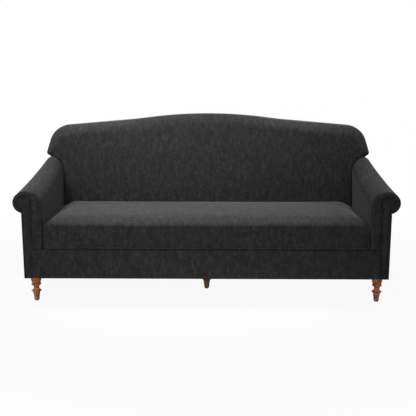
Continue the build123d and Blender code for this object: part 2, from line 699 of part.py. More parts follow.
def make_seat():
    inner = PANEL_INNER - RAIL_THICK
    rail_back = RAIL_FRONT + FRONT_RAIL_THICK
    back_w = BACK_FRAME_THICK + RAIL_THICK
    behind_rail = rear_block(-2000, 2000, -800, 2000, -900, back_w)
    level = block(-2000, 2000, -1000, 1000, BASE_Z, RAIL_TOP)
    bores = leg_bores()
    front_rail = block(-PANEL_INNER, PANEL_INNER, RAIL_FRONT, rail_back, BASE_Z, RAIL_TOP) - bores
    back_rail = rear_block(-inner, inner, -60, 400, BACK_FRAME_THICK, back_w) & level
    side_rail = block(inner, PANEL_INNER, rail_back, 900, BASE_Z, RAIL_TOP) - BEHIND - bores
    centre_rail = block(
        -CENTRE_RAIL_WIDTH / 2, CENTRE_RAIL_WIDTH / 2, rail_back, 900, BASE_Z, BASE_Z + CENTRE_RAIL_HEIGHT
    )
    centre_rail = centre_rail - behind_rail - bores
    cross_rail = block(
        CROSS_RAIL_X - RAIL_THICK / 2,
        CROSS_RAIL_X + RAIL_THICK / 2,
        rail_back,
        900,
        BASE_Z,
        BASE_Z + CENTRE_RAIL_HEIGHT,
    )
    cross_rail = cross_rail - behind_rail
    corner = Polyline((0, 0), (-CORNER_BLOCK, 0), (0, CORNER_BLOCK), (0, 0))
    prism = extrude(make_face(corner), amount=CORNER_BLOCK_HEIGHT)
    front_corner = Pos(inner, rail_back, BASE_Z + 40) * prism
    rear_y = rear_line(BASE_Z) - (back_w - 10) / cos(radians(REAR_LEAN))
    rear_corner = Pos(inner, rear_y, BASE_Z + 40) * mirror(prism, about=Plane.XZ) - behind_rail
    corners = [front_corner, mirrored(front_corner), rear_corner, mirrored(rear_corner)]

    bolts = []
    bolt_room = Part()
    for y in ARM_BOLT_Y:
        x1 = PANEL_INNER + ARM_BOLT_IN_ARM
        bolts.append(arm_bolt_shape(inner, x1, ARM_BOLT_RADIUS, ARM_BOLT_HEAD_RADIUS, y))
        bolt_room = bolt_room + arm_bolt_shape(
            inner, x1 + HARD_GAP, ARM_BOLT_RADIUS + HARD_GAP, ARM_BOLT_HEAD_RADIUS, y
        )
    bolts = bolts + [mirrored(bolt) for bolt in bolts]
    side_rail = side_rail - bolt_room

    spring_z = RAIL_TOP + SPRING_LIFT + SPRING_WIRE / 2
    first = RAIL_FRONT + RAIL_THICK / 2
    last = rear_line(RAIL_TOP) - (BACK_FRAME_THICK + RAIL_THICK / 2) / cos(radians(REAR_LEAN))
    path = spring_path(last - first)
    ring = Plane(origin=path @ 0, z_dir=path % 0) * Circle(SPRING_WIRE / 2)
    spring = sweep(ring, path=path)
    pitch = 2 * INNER / SPRING_COUNT
    springs = []
    clips = []
    clip_low = RAIL_TOP
    clip_top = spring_z + SPRING_WIRE / 2 + SPRING_LIFT
    half_clip = CLIP_WIDTH / 2
    hook = SPRING_WIRE / 2 + SPRING_LIFT
    for i in range(SPRING_COUNT):
        x = -INNER + (i + 0.5) * pitch
        springs.append(Pos(x, first, spring_z) * spring)
        for y, side in ((first, -1), (last, 1)):
            edge = y + side * hook
            outer_edge = edge + side * CLIP_THICK
            far = y - side * hook
            y0, y1 = sorted((edge, outer_edge))
            leg = block(x - half_clip, x + half_clip, y0, y1, clip_low, clip_top)
            y0, y1 = sorted((far, outer_edge))
            clips.append(leg + block(x - half_clip, x + half_clip, y0, y1, clip_top, clip_top + CLIP_THICK))

    deck_low = clip_top + CLIP_THICK + HARD_GAP
    deck = block(-PANEL_INNER, PANEL_INNER, RAIL_FRONT, 900, deck_low, DECK_TOP)
    deck = deck - rear_block(-2000, 2000, -800, 2000, -900, BACK_FRAME_THICK)
    border_x = PANEL_INNER - PIPING - SOFT_GAP
    border = block(-border_x, border_x, FRONT, RAIL_FRONT, BASE_Z, DECK_TOP)
    dust = block(-HALF + 2, HALF - 2, FRONT + 2, 900, BASE_Z - DUST_COVER, BASE_Z) - BEHIND
    for x, y in LEG_SPOTS.values():
        dust = dust - rod(x, y, 0, 400, DUST_HOLE)
    pieces = {
        "front_rail": front_rail,
        "back_rail": back_rail,
        "side_rail_left": mirrored(side_rail),
        "side_rail_right": side_rail,
        "centre_rail": centre_rail,
        "cross_rails": group([cross_rail, mirrored(cross_rail)]),
        "corner_blocks": group(corners),
        "arm_bolts": group(bolts),
        "seat_springs": group(springs),
        "spring_clips": group(clips),
        "seat_deck": deck,
        "front_border": border,
        "dust_cover": dust,
    }
    return pieces, bolt_room


# Cushion

# Plan of the cushion at a height: drawn-in front and sides, straight rear, round corners
def cushion_plan(z, inset, rear_inset, rear_z):
    half = INNER - CUSHION_SIDE_GAP - inset
    front = FRONT - CUSHION_NOSE + inset
    rear = back_face(rear_z) - CUSHION_BACK_GAP - rear_inset
    bend = CUSHION_CORNER
    nip = bend * (1 - cos(pi / 4))
    draw = CUSHION_DRAW
    middle = (front + rear) / 2
    edges = [
        ThreePointArc((-half + bend, front), (0, front + draw), (half - bend, front)),
        ThreePointArc((half - bend, front), (half - nip, front + nip), (half, front + bend)),
        ThreePointArc((half, front + bend), (half - draw, middle), (half, rear - bend)),
        ThreePointArc((half, rear - bend), (half - nip, rear - nip), (half - bend, rear)),
        Line((half - bend, rear), (-half + bend, rear)),
        ThreePointArc((-half + bend, rear), (-half + nip, rear - nip), (-half, rear - bend)),
        ThreePointArc((-half, rear - bend), (-half + draw, middle), (-half, front + bend)),
        ThreePointArc((-half, front + bend), (-half + nip, front + nip), (-half + bend, front)),
    ]
    return Pos(0, 0, z) * make_face(edges)


# Cushion body: upright sides that swell a little, then a wide round and a crown, least at the rear
def cushion_form(shell):
    low = DECK_HEIGHT + shell
    top = DECK_HEIGHT + CUSHION_BOXING + CUSHION_CROWN - shell
    seam = DECK_HEIGHT + CUSHION_BOXING - shell
    depth = back_face(seam) - CUSHION_BACK_GAP - FRONT
    levels = [
        (low, 8.0),
        (low + 0.12 * (seam - low), 2.0),
        (low + 0.45 * (seam - low), 0.0),
        (low + 0.8 * (seam - low), 0.5),
        (seam, 3.0),
        (seam + 0.3 * (top - seam), 0.013 * depth),
        (seam + 0.53 * (top - seam), 0.031 * depth),
        (seam + 0.78 * (top - seam), 0.078 * depth),
        (seam + 0.94 * (top - seam), 0.165 * depth),
        (top, 0.3 * depth),
    ]
    faces = []
    for z, inset in levels:
        edge = levels[4][1]
        rear_inset = inset if z <= seam else edge + CUSHION_REAR_SHARE * (inset - edge)
        faces.append(cushion_plan(z, inset + shell, rear_inset + shell, min(z, seam)))
    rolled = loft_faces(faces[4:7])
    crowned = loft_faces(faces[6:], True)
    return Part() + loft_faces(faces[:5]) + rolled + crowned


def make_cushion():
    outer = cushion_form(0)
    inner = cushion_form(CUSHION_COVER)
    zip_z = DECK_HEIGHT + ZIP_RISE
    zip_y = back_face(zip_z) - CUSHION_BACK_GAP
    half = ZIP_LENGTH / 2
    high = ZIP_WIDTH / 2
    tape_y = zip_y - ZIP_TAPE - ZIP_COIL - 0.8
    pocket = block(
        -half - 1, half + 1, tape_y, zip_y + 40, zip_z - high - 1, zip_z + high + 1
    )
    cover = outer - inner - pocket
    foam = inner - pocket
    coil_y = tape_y + ZIP_TAPE
    tape = block(-half, half, tape_y, coil_y, zip_z - high, zip_z + high)
    coil_half = ZIP_COIL_WIDTH / 2
    coil = block(-half, half, coil_y, coil_y + ZIP_COIL, zip_z - coil_half, zip_z + coil_half)
    slide_y = coil_y + ZIP_COIL + ZIP_GAP
    slide_x = -half + ZIP_SLIDER_LENGTH
    wide = ZIP_SLIDER_WIDTH / 2
    body = block(
        slide_x - ZIP_SLIDER_LENGTH / 2,
        slide_x + ZIP_SLIDER_LENGTH / 2,
        slide_y,
        slide_y + ZIP_SLIDER_THICK * 0.6,
        zip_z - wide,
        zip_z + wide,
    )
    tab = block(
        slide_x - 2.5,
        slide_x + 2.5,
        slide_y + ZIP_SLIDER_THICK * 0.6,
        slide_y + ZIP_SLIDER_THICK,
        zip_z - wide - 10,
        zip_z + wide - 2,
    )
    return {
        "seat_cushion_cover": cover,
        "seat_cushion_foam": foam,
        "cushion_zip": tape + coil,
        "zip_slider": body + tab,
    }


def make_sofa():
    pieces, bolt_room = make_seat()
    for name, shape in make_arm().items():
        if name == "arm_bottom_rail":
            shape = shape - bolt_room
        pieces[name + "_right"] = shape
        pieces[name + "_left"] = mirrored(shape)
    pieces.update(make_back())
    pieces.update(make_legs())
    pieces.update(make_cushion())
    return pieces


os.makedirs("parts", exist_ok=True)
for node, solid in make_sofa().items():
    export_step(solid, "parts/" + node + ".step")
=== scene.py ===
import json
import math

import bmesh
import bpy
import numpy as np
from mathutils.bvhtree import BVHTree
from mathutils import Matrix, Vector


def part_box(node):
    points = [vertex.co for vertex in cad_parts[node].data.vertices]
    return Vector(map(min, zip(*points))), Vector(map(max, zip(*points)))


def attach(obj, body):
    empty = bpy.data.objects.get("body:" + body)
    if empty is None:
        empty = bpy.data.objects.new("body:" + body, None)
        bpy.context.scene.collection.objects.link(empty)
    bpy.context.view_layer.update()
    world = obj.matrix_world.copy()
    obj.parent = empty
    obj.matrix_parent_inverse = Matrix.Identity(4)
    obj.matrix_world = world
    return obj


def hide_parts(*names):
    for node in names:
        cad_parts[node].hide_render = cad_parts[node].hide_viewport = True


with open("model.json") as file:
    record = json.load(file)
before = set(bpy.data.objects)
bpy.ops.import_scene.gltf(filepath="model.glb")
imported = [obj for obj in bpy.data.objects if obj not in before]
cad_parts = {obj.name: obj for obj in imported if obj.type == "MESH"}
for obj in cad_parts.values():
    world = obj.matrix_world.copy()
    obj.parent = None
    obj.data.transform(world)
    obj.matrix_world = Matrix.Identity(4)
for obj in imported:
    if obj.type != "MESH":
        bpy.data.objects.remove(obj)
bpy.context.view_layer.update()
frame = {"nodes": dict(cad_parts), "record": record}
nodes = frame["nodes"]

# Sizes shared by the pieces, in millimetres; the front of the sofa faces -y
sofa = {
    "half": 1010.0,        # outside arm face
    "inner": 902.0,        # inside arm face
    "front": -412.0,       # plane of the front border and the arm panels
    "base": 136.0,         # underside of the upholstery
    "deck": 304.0,         # underside of the loose cushion
    "top": 992.0,          # crest of the back
    "rearFoot": 317.4,     # rear plane at the base
    "rearLean": 7.0,       # degrees
    "backFoot": 174.0,     # front line of the back at backFootZ
    "backFootZ": 455.0,
    "backLean": 11.4,      # degrees
    "backCrown": 16.0,     # how far the back bellies forward
    "panelStep": 736.0,    # where the outside back narrows from the arms to the wings
}


# Tangent of an angle in degrees
def tanDeg(angle):
    return math.tan(math.radians(angle))


# y of the sloping rear plane at height z
def rearLine(z):
    return sofa["rearFoot"] + (z - sofa["base"]) * tanDeg(sofa["rearLean"])


# y of the back's front at height z: a leaning line, brought forward by a parabola of the crown
def backLine(z):
    low, high = sofa["deck"], sofa["top"]
    share = np.clip((2 * z - low - high) / (high - low), -1, 1)
    lean = sofa["backFoot"] + (z - sofa["backFootZ"]) * tanDeg(sofa["backLean"])
    return lean - sofa["backCrown"] * (1 - share * share)


# sRGB hex to linear red, green, blue, alpha
def hexColour(text):
    values = [int(text[i:i + 2], 16) / 255 for i in (1, 3, 5)]
    linear = [v / 12.92 if v <= 0.04045 else ((v + 0.055) / 1.055) ** 2.4 for v in values]
    return (*linear, 1.0)


# Quads of a rows x columns grid, as vertex numbers; wrap joins the last row to the first
def gridQuads(rows, cols, wrap=False):
    r = np.arange(rows if wrap else rows - 1)
    c = np.arange(cols - 1)
    a = (r[:, None] * cols + c[None, :]).ravel()
    b = (((r[:, None] + 1) % rows) * cols + c[None, :]).ravel()
    return np.stack([a, b, b + 1, a + 1], axis=1)


# Mesh from patches of points (rows, columns, 3) in millimetres; edges that meet are welded
def patchMesh(name, patches, wrap=False, weld=0.00005, closed=True):
    points, quads, count = [], [], 0
    for patch in patches:
        rows, cols = patch.shape[:2]
        quads.append(gridQuads(rows, cols, wrap) + count)
        points.append(patch.reshape(-1, 3))
        count += rows * cols
    allPoints = np.concatenate(points) * 0.001
    mesh = bpy.data.meshes.new(name)
    mesh.from_pydata(allPoints.tolist(), [], np.concatenate(quads).tolist())
    shape = bmesh.new()
    shape.from_mesh(mesh)
    bmesh.ops.remove_doubles(shape, verts=shape.verts, dist=weld)
    bmesh.ops.dissolve_degenerate(shape, edges=shape.edges, dist=weld)
    if closed:
        rims = [e for e in shape.edges if e.is_boundary]
        if rims:
            bmesh.ops.holes_fill(shape, edges=rims, sides=0)
        bmesh.ops.recalc_face_normals(shape, faces=shape.faces)
    for face in shape.faces:
        face.smooth = True
    shape.to_mesh(mesh)
    shape.free()
    return mesh


# Object at the origin that rides on a body, with its slot's finish or another, and the nodes it stands
# for; a wall of cloth, in millimetres, is laid inwards from its surface
def piece(name, mesh, slot="charcoal_weave", body="sofa", stands=(), wall=0.0, finish=None):
    made = bpy.data.objects.new(name, mesh)
    bpy.context.scene.collection.objects.link(made)
    mesh.materials.append(finish or finishes[slot])
    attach(made, body)
    if stands:
        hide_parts(*stands)
    if wall:
        cloth = made.modifiers.new("thickness", "SOLIDIFY")
        cloth.thickness = wall * 0.001
        cloth.offset = -1
        cloth.use_even_offset = True
    return made


# Mirror image in the middle plane; its columns are turned round, so faces still point outwards
def mirrorX(points):
    flipped = points * np.array([-1.0, 1.0, 1.0])
    return flipped[:, ::-1]


# Values set and sockets linked on the inputs of a node
def feed(tree, node, values=None, links=None):
    for key, value in (values or {}).items():
        node.inputs[key].default_value = value
    for key, source in (links or {}).items():
        tree.links.new(source, node.inputs[key])


# One node with its settings, its input values and its links
def addNode(tree, kind, settings=None, values=None, links=None):
    made = tree.nodes.new(kind)
    for key, value in (settings or {}).items():
        setattr(made, key, value)
    feed(tree, made, values, links)
    return made


# Material with its node tree, its shader and the Object coordinates
def newFinish(name):
    finish = bpy.data.materials.new(name)
    finish.use_nodes = True
    tree = finish.node_tree
    shader = tree.nodes["Principled BSDF"]
    where = addNode(tree, "ShaderNodeTexCoord")
    return finish, tree, shader, where.outputs["Object"]


# Noise with grains of the given millimetres along x, y and z
def addNoise(tree, where, grain, values):
    sized = addNode(tree, "ShaderNodeMapping", values={"Scale": tuple(1000 / v for v in grain)},
                    links={"Vector": where})
    noise = addNode(tree, "ShaderNodeTexNoise", values={"Scale": 1.0, **values},
                    links={"Vector": sized.outputs["Vector"]})
    return noise.outputs["Fac"]


# Colour by a value, with stops as pairs of place and hex colour
def addRamp(tree, source, stops):
    made = addNode(tree, "ShaderNodeValToRGB", links={"Fac": source})
    ramp, stops = made.color_ramp, list(stops)
    while len(ramp.elements) < len(stops):
        ramp.elements.new(0.5)
    for element, (place, colour) in zip(ramp.elements, stops):
        element.position = place
        element.color = hexColour(colour)
    return made.outputs["Color"]


# Relief by a value, with its strength and its height in metres
def addBump(tree, source, strength, height):
    made = addNode(tree, "ShaderNodeBump", values={"Strength": strength, "Distance": height},
                   links={"Height": source})
    return made.outputs["Normal"]


weave = {
    "cloth": ("#29292a", "#333334", "#424243"),   # dark, middle and light yarn
    "welt": ("#343435", "#424243", "#545455"),    # lighter yarn than the cloth: a painted highlight for the light the welts catch
    "stops": (0.36, 0.5, 0.64),
    "slubLength": 16.0,    # millimetres along a yarn
    "yarnWidth": 4.2,      # real chenille yarn is about 2 mm; drawn coarser so that it shows
    "mottle": (20.0, 44.0, 42.0),   # patches of pile that lie one way, long in the direction of the nap
    "yarnNoise": {"Detail": 2.0, "Roughness": 0.6}, "pileNoise": {"Detail": 3.0, "Roughness": 0.6},
    "yarnShare": 0.42, "yarnShift": -0.17, "pileShare": 0.5,
    "bump": 0.45, "bumpHeight": 0.0012,
    "roughness": 0.92, "specular": 0.2,
    "sheen": 0.8, "sheenRoughness": 0.22, "sheenTint": "#8c8c8e",
}


# Woven chenille: matt dark yarn with short slubs both ways, a soft pile that catches light at its edge
def chenilleFinish(name, colours):
    w = weave
    finish, tree, shader, where = newFinish(name)
    slub, wide = w["slubLength"], w["yarnWidth"]
    weft = addNoise(tree, where, (slub, slub, wide), w["yarnNoise"])
    warp = addNoise(tree, where, (wide, wide, slub), w["yarnNoise"])
    cloud = addNoise(tree, where, w["mottle"], w["pileNoise"])
    yarn = addNode(tree, "ShaderNodeMath", {"operation": "ADD"}, links={0: weft, 1: warp})
    shade = addNode(tree, "ShaderNodeMath", {"operation": "MULTIPLY_ADD"},
                    {1: w["yarnShare"], 2: w["yarnShift"]}, {0: yarn.outputs[0]})
    pile = addNode(tree, "ShaderNodeMath", {"operation": "MULTIPLY_ADD"}, {1: w["pileShare"]},
                   {0: cloud, 2: shade.outputs[0]})
    feed(tree, shader, {
        "Roughness": w["roughness"], "Specular IOR Level": w["specular"], "Sheen Weight": w["sheen"],
        "Sheen Roughness": w["sheenRoughness"], "Sheen Tint": hexColour(w["sheenTint"]),
    }, {
        "Base Color": addRamp(tree, pile.outputs[0], zip(w["stops"], colours)),
        "Normal": addBump(tree, yarn.outputs[0], w["bump"], w["bumpHeight"]),
    })
    return finish


legWood = {
    "grain": (5.0, 5.0, 60.0), "noise": {"Detail": 4.0, "Distortion": 0.6},
    "stops": [(0.3, "#97481b"), (0.52, "#c76e31"), (0.75, "#df8d4b")], "bump": 0.08, "bumpHeight": 0.0004,
    "roughness": 0.34, "coat": 0.25, "coatRoughness": 0.2,
}
brass = {
    "grain": (9.0, 9.0, 9.0), "noise": {"Detail": 4.0}, "roughness": (0.36, 0.58),
    "stops": [(0.3, "#8a6f55"), (0.55, "#b0957a"), (0.8, "#c9b094")],
}
plain = {"noise": {"Detail": 3.0}, "stops": (0.35, 0.65), "bump": 0.15, "bumpHeight": 0.0005}


# Turned hardwood under a reddish stain: grain runs up the leg, satin lacquer
def turnedWoodFinish():
    finish, tree, shader, where = newFinish("stained turned beech")
    w = legWood
    grain = addNoise(tree, where, w["grain"], w["noise"])
    feed(tree, shader, {
        "Roughness": w["roughness"], "Coat Weight": w["coat"], "Coat Roughness": w["coatRoughness"],
    }, {
        "Base Color": addRamp(tree, grain, w["stops"]),
        "Normal": addBump(tree, grain, w["bump"], w["bumpHeight"]),
    })
    return finish


# Cast brass with a brown patina: dull, darker in patches
def brassFinish():
    finish, tree, shader, where = newFinish("antique brass")
    patches = addNoise(tree, where, brass["grain"], brass["noise"])
    dull, duller = brass["roughness"]
    rough = addNode(tree, "ShaderNodeMapRange", values={"To Min": dull, "To Max": duller},
                    links={"Value": patches})
    feed(tree, shader, {"Metallic": 1.0},
         {"Base Color": addRamp(tree, patches, brass["stops"]), "Roughness": rough.outputs["Result"]})
    return finish


# Plain finish with a fine mottle from a dark to a light colour, its grain in millimetres, for linings,
# foam, frame wood and steel inside; stretch draws the grain out along x
def mottleFinish(name, low, high, grainMm, roughness, metallic=0.0, stretch=1.0):
    finish, tree, shader, where = newFinish(name)
    grain = addNoise(tree, where, (grainMm * stretch, grainMm, grainMm), plain["noise"])
    feed(tree, shader, {"Roughness": roughness, "Metallic": metallic}, {
        "Base Color": addRamp(tree, grain, zip(plain["stops"], (low, high))),
        "Normal": addBump(tree, grain, plain["bump"], plain["bumpHeight"]),
    })
    return finish


finishes = {
    "charcoal_weave": chenilleFinish("charcoal chenille", weave["cloth"]),
    "foam": mottleFinish("upholstery foam", "#d8cda4", "#e6dcb8", 6.0, 0.95),
    "lining": mottleFinish("black spunbond lining", "#161617", "#222223", 3.0, 0.9),
    "spring_steel": mottleFinish("drawn spring steel", "#77787a", "#98999b", 12.0, 0.35, 1.0),
    "turned_wood": turnedWoodFinish(),
    "antique_brass": brassFinish(),
    "zip_tape": mottleFinish("woven zip tape", "#17171a", "#232326", 2.0, 0.85),
    "zip_metal": mottleFinish("dark zinc", "#4a463f", "#67625a", 4.0, 0.4, 1.0),
    "frame_wood": mottleFinish("plain poplar", "#b08a5a", "#cba877", 14.0, 0.6, 0.0, 8.0),
}
# Welt finish: its lighter yarn colours are a painted highlight along the cushion's seams
weltHighlightChenille = chenilleFinish("charcoal chenille welt with painted highlight", weave["welt"])
for part in frame["record"]["subparts"]:
    held = nodes[part["node"]].data
    held.materials.clear()
    held.materials.append(finishes[part["material_slot"]])
print("finishes:", len(finishes))


# Distance from points to a line of closely spaced points
def nearest(points, line):
    best = np.full(len(points), 1e9)
    for start in range(0, len(line) - 1):
        a, b = line[start], line[start + 1]
        along = b - a
        share = np.clip(((points - a) @ along) / max(along @ along, 1e-9), 0, 1)
        best = np.minimum(best, np.linalg.norm(points - a - share[:, None] * along, axis=1))
    return best


# Roll centre, roll radius and top arc radius are given at the front, middle and rear of the roll
armShape = {
    "rollX": (998.0, 984.0, 968.0), "rollZ": (562.0, 611.0, 688.0),
    "rollRadius": (54.0, 50.0, 42.0), "topRadius": (78.0, 81.0, 84.0),
    "length": 640.0, "frontRound": 20.0, "proud": 3.0, "puff": 2.0, "puffWidth": 40.0,
    "grooveRound": 5.0, "grooveBed": 11.0, "grooveUnder": 10.0, "grooveDepth": 9.0, "bedTail": 8.0,
    "bedShare": 0.4, "rimShare": 0.5, "dipShare": 0.3,   # the most each may take of a narrow ring
    "rows": 60, "linePoints": 26, "arcPoints": 30, "roundPoints": 7, "wall": 3.0,
}
outsideArmShape = {
    "frontInset": 4.5, "tuck": 4.0, "inset": 0.5, "belly": 1.5, "edge": 1.5, "edgeFade": (60.0, 40.0),
    "rows": 60, "columns": 28, "wall": 2.5,
}
panelShape = {
    "inner": 960.5, "outer": 1003.0, "headX": 993.5, "headZ": 560.0, "headRadius": 33.0, "neckRadius": 13.5,
    "flare": 10.0, "trim": 0.3, "hem": 0.5, "edgeBack": 3.0, "dome": 5.0, "domeEdge": 18.0, "skirt": 9.0,
    "rows": 60, "headRows": 24, "columns": 19, "wall": 1.5,
    "piping": 3.4, "pipingGrow": 3.1, "pipingBack": 1.0, "pipingCounts": (60, 90, 14),
}


# Parabola through an arm size's front, middle and rear values, at shares along the roll
def alongArm(size, share):
    a, b, c = armShape[size]
    return a + (4 * b - 3 * a - c) * share + (2 * a - 4 * b + 2 * c) * share * share


# Height where the roll's underside meets the outside face, at shares along the roll
def neckLine(share):
    r = alongArm("rollRadius", share)
    reach = np.clip(sofa["half"] - alongArm("rollX", share), 0, r)
    return alongArm("rollZ", share) - np.sqrt(r * r - reach * reach)


# Arm section at shares along the roll: a straight inner face, a wide arc over the top, then the
# tighter roll arc round to the outside face; returns x and z, one row for each share
def armSection(share):
    share = share[:, None]
    x, z = alongArm("rollX", share), alongArm("rollZ", share)
    r, wide = alongArm("rollRadius", share), alongArm("topRadius", share)
    topX = sofa["inner"] + wide
    rise = np.sqrt(np.maximum((wide - r) ** 2 - (x - topX) ** 2, 0))
    topZ = z - rise
    turn = np.arctan2(rise, x - topX)
    end = -np.arccos(np.clip((sofa["half"] - x) / r, -1, 1))
    n, m = armShape["linePoints"], armShape["arcPoints"]
    line = np.linspace(0, 1, n, endpoint=False)[None, :]
    lineX = np.full_like(line, sofa["inner"]) + 0 * x
    lineZ = sofa["deck"] + (topZ - sofa["deck"]) * line
    first = math.pi + (turn - math.pi) * np.linspace(0, 1, m, endpoint=False)[None, :]
    second = turn + (end - turn) * np.linspace(0, 1, m)[None, :]
    xs = np.concatenate([lineX, topX + wide * np.cos(first), x + r * np.cos(second)], axis=1)
    zs = np.concatenate([lineZ, topZ + wide * np.sin(first), z + r * np.sin(second)], axis=1)
    return xs, zs


# Outward shift of the panel's inner edge, nothing at the head and all of the flare at the base
def panelFlare(z):
    return panelShape["flare"] * (panelShape["headZ"] - z) / (panelShape["headZ"] - sofa["base"])


# Outline of the scroll panel, grown outwards: up the inner edge, round the head, through the
# hollow neck and down the outer edge; sampled with the given counts
def scrollOutline(grow, bottom, lineN=40, headN=60, neckN=8):
    p = panelShape
    across = p["outer"] + p["neckRadius"] - p["headX"]
    reach = p["headRadius"] + p["neckRadius"]
    drop = math.sqrt(reach * reach - across * across)
    turn = -math.atan2(drop, across)
    neckX, neckZ = p["outer"] + p["neckRadius"], p["headZ"] - drop
    up = np.linspace(bottom, p["headZ"], lineN, endpoint=False)
    head = np.linspace(math.pi, turn, headN, endpoint=False)
    neck = np.linspace(math.pi + turn, math.pi, neckN, endpoint=False)
    down = np.linspace(neckZ, bottom, lineN)
    r, f = p["headRadius"] + grow, p["neckRadius"] - grow
    xs = np.concatenate([p["inner"] - grow + panelFlare(up), p["headX"] + r * np.cos(head),
                         neckX + f * np.cos(neck), np.full(lineN, p["outer"] + grow)])
    zs = np.concatenate([up, p["headZ"] + r * np.sin(head), neckZ + f * np.sin(neck), down])
    return xs, zs


# Soft arm: the section carried along the arm, closed at the front by a padded ring that rolls over
# its outer edge and dips into the groove of the piping
def armSurface():
    s = armShape
    frontX, frontZ = armSection(np.zeros(1))
    outX, outZ = frontX[0], frontZ[0]
    n, m = s["linePoints"], s["arcPoints"]
    groove = panelShape["headRadius"] - s["grooveUnder"]
    grooveEnd = -math.acos((sofa["half"] - panelShape["headX"]) / groove)
    angle = np.concatenate([np.full(n, math.pi), np.linspace(math.pi, grooveEnd, 2 * m)])
    inX = panelShape["headX"] + groove * np.cos(angle)
    inZ = panelShape["headZ"] + groove * np.sin(angle)
    inZ[:n] = sofa["deck"] + (panelShape["headZ"] - sofa["deck"]) * np.arange(n) / n
    inX[:n] += panelFlare(inZ[:n])
    wide = np.hypot(outX - inX, outZ - inZ)
    bed = s["grooveUnder"] + np.minimum(s["grooveBed"], s["bedShare"] * (wide - s["grooveUnder"]))
    rim = np.minimum(s["frontRound"], s["rimShare"] * (wide - bed))
    dip = np.minimum(s["grooveRound"], s["dipShare"] * (wide - bed))
    a = np.linspace(0, math.pi / 2, s["roundPoints"])[:, None]
    lift = s["grooveDepth"] + s["proud"]
    offsets = [0 * wide[None, :], bed + dip * (1 - np.cos(a))]
    depths = [0 * wide[None, :] + s["grooveDepth"], s["grooveDepth"] - lift * np.sin(a) + 0 * wide]
    flat = np.linspace(0, 1, s["roundPoints"])[1:-1, None]
    offsets.append(bed + dip + (wide - rim - dip - bed) * flat)
    depths.append(-s["proud"] - s["puff"] * np.sin(math.pi * flat) * np.minimum(1, wide / s["puffWidth"]))
    offsets.append(wide - rim + rim * np.sin(a))
    depths.append(-s["proud"] + rim * (1 - np.cos(a)))
    offsets, depths = np.concatenate(offsets), np.concatenate(depths)
    share = offsets / np.maximum(wide, 1e-6)
    ringX, ringZ = inX + (outX - inX) * share, inZ + (outZ - inZ) * share
    ringZ[:2, 0] -= s["bedTail"]   # the groove's bed goes on behind the top of the border
    ring = np.stack([ringX, sofa["front"] + depths, ringZ], axis=-1)
    startY = sofa["front"] - s["proud"] + rim
    endZ = armSection(np.ones(1))[1]
    endY = rearLine(endZ[0])
    q = np.linspace(0, 1, s["rows"])[1:, None]
    y = startY[None, :] + (endY - startY)[None, :] * q
    along = np.clip((y - sofa["front"]) / s["length"], 0, 1)
    rowShare = along[:, n + m]
    bodyX, bodyZ = armSection(rowShare)
    body = np.stack([bodyX, y, bodyZ], axis=-1)
    return np.concatenate([ring, body], axis=0)


# Outside arm: a flat sheet from the base to the roll's neck, with a slight belly and edges that turn in
def outsideArmSurface():
    o = outsideArmShape
    q = np.linspace(0, 1, o["rows"])[:, None]
    t = np.linspace(0, 1, o["columns"])[None, :]
    y0 = sofa["front"] + o["frontInset"]
    top = neckLine(q)
    for again in range(6):   # the rear edge leans, so depth and neck height settle together
        y = y0 + (rearLine(top) - y0) * q
        top = neckLine(np.clip((y - sofa["front"]) / armShape["length"], 0, 1)) + o["tuck"]
    z = sofa["base"] + (top - sofa["base"]) * t
    y = y0 + (rearLine(z) - y0) * q
    belly = o["belly"] * np.sin(math.pi * q) * np.sin(math.pi * t)
    endFade, footFade = o["edgeFade"]
    edge = o["edge"] * np.maximum(np.exp(-q * endFade) + np.exp(-(1 - q) * endFade), np.exp(-t * footFade))
    x = sofa["half"] - o["inset"] + belly - edge
    return np.stack([x, y + 0 * z, z], axis=-1)


# Scroll panel: columns up the panel, spread from the inner to the outer edge and domed like a padded
# board by the distance to the outline; a skirt goes back from the outline, behind the piping
def panelSurface():
    p = panelShape
    xs, zs = scrollOutline(-p["trim"], sofa["base"] - p["hem"])
    peak = int(np.argmax(zs))
    head = (zs[peak] - p["headZ"]) * np.sin(np.linspace(0, math.pi / 2, p["headRows"]))
    z = np.concatenate([np.linspace(zs[0], p["headZ"], p["rows"], endpoint=False), p["headZ"] + head])[None, :]
    left = np.interp(z, zs[:peak + 1], xs[:peak + 1])
    right = np.interp(z, zs[peak:][::-1], xs[peak:][::-1])
    x = left + (right - left) * (1 - np.cos(np.linspace(0, math.pi, p["columns"])))[:, None] / 2
    z = z + 0 * x
    inside = nearest(np.stack([x.ravel(), z.ravel()], axis=-1), np.stack([xs, zs], axis=-1)).reshape(x.shape)
    share = np.clip(inside / p["domeEdge"], 0, 1)
    y = sofa["front"] + p["edgeBack"] - p["dome"] * np.sqrt(1 - (1 - share) ** 2)
    skirt = [np.stack([xs, np.full_like(xs, sofa["front"] + depth), zs], axis=-1)
             for depth in (p["skirt"], p["edgeBack"])]
    return [np.stack([x, y, z], axis=-1), np.stack(skirt)]


# Tube along points: a circle carried on the normal and binormal of a flat path in the xz plane
def pipingSurface(xs, zs, y, radius, sides=10):
    path = np.stack([xs, np.full_like(xs, y), zs], axis=-1)
    ahead = np.gradient(path, axis=0)
    ahead /= np.linalg.norm(ahead, axis=1, keepdims=True)
    normal = np.cross(ahead, np.array([0.0, 1.0, 0.0]))
    turn = np.linspace(0, 2 * math.pi, sides + 1)
    circle = np.cos(turn)[None, :, None] * normal[:, None, :]
    circle = circle + np.sin(turn)[None, :, None] * np.array([0.0, 1.0, 0.0])
    return path[:, None, :] + radius * circle


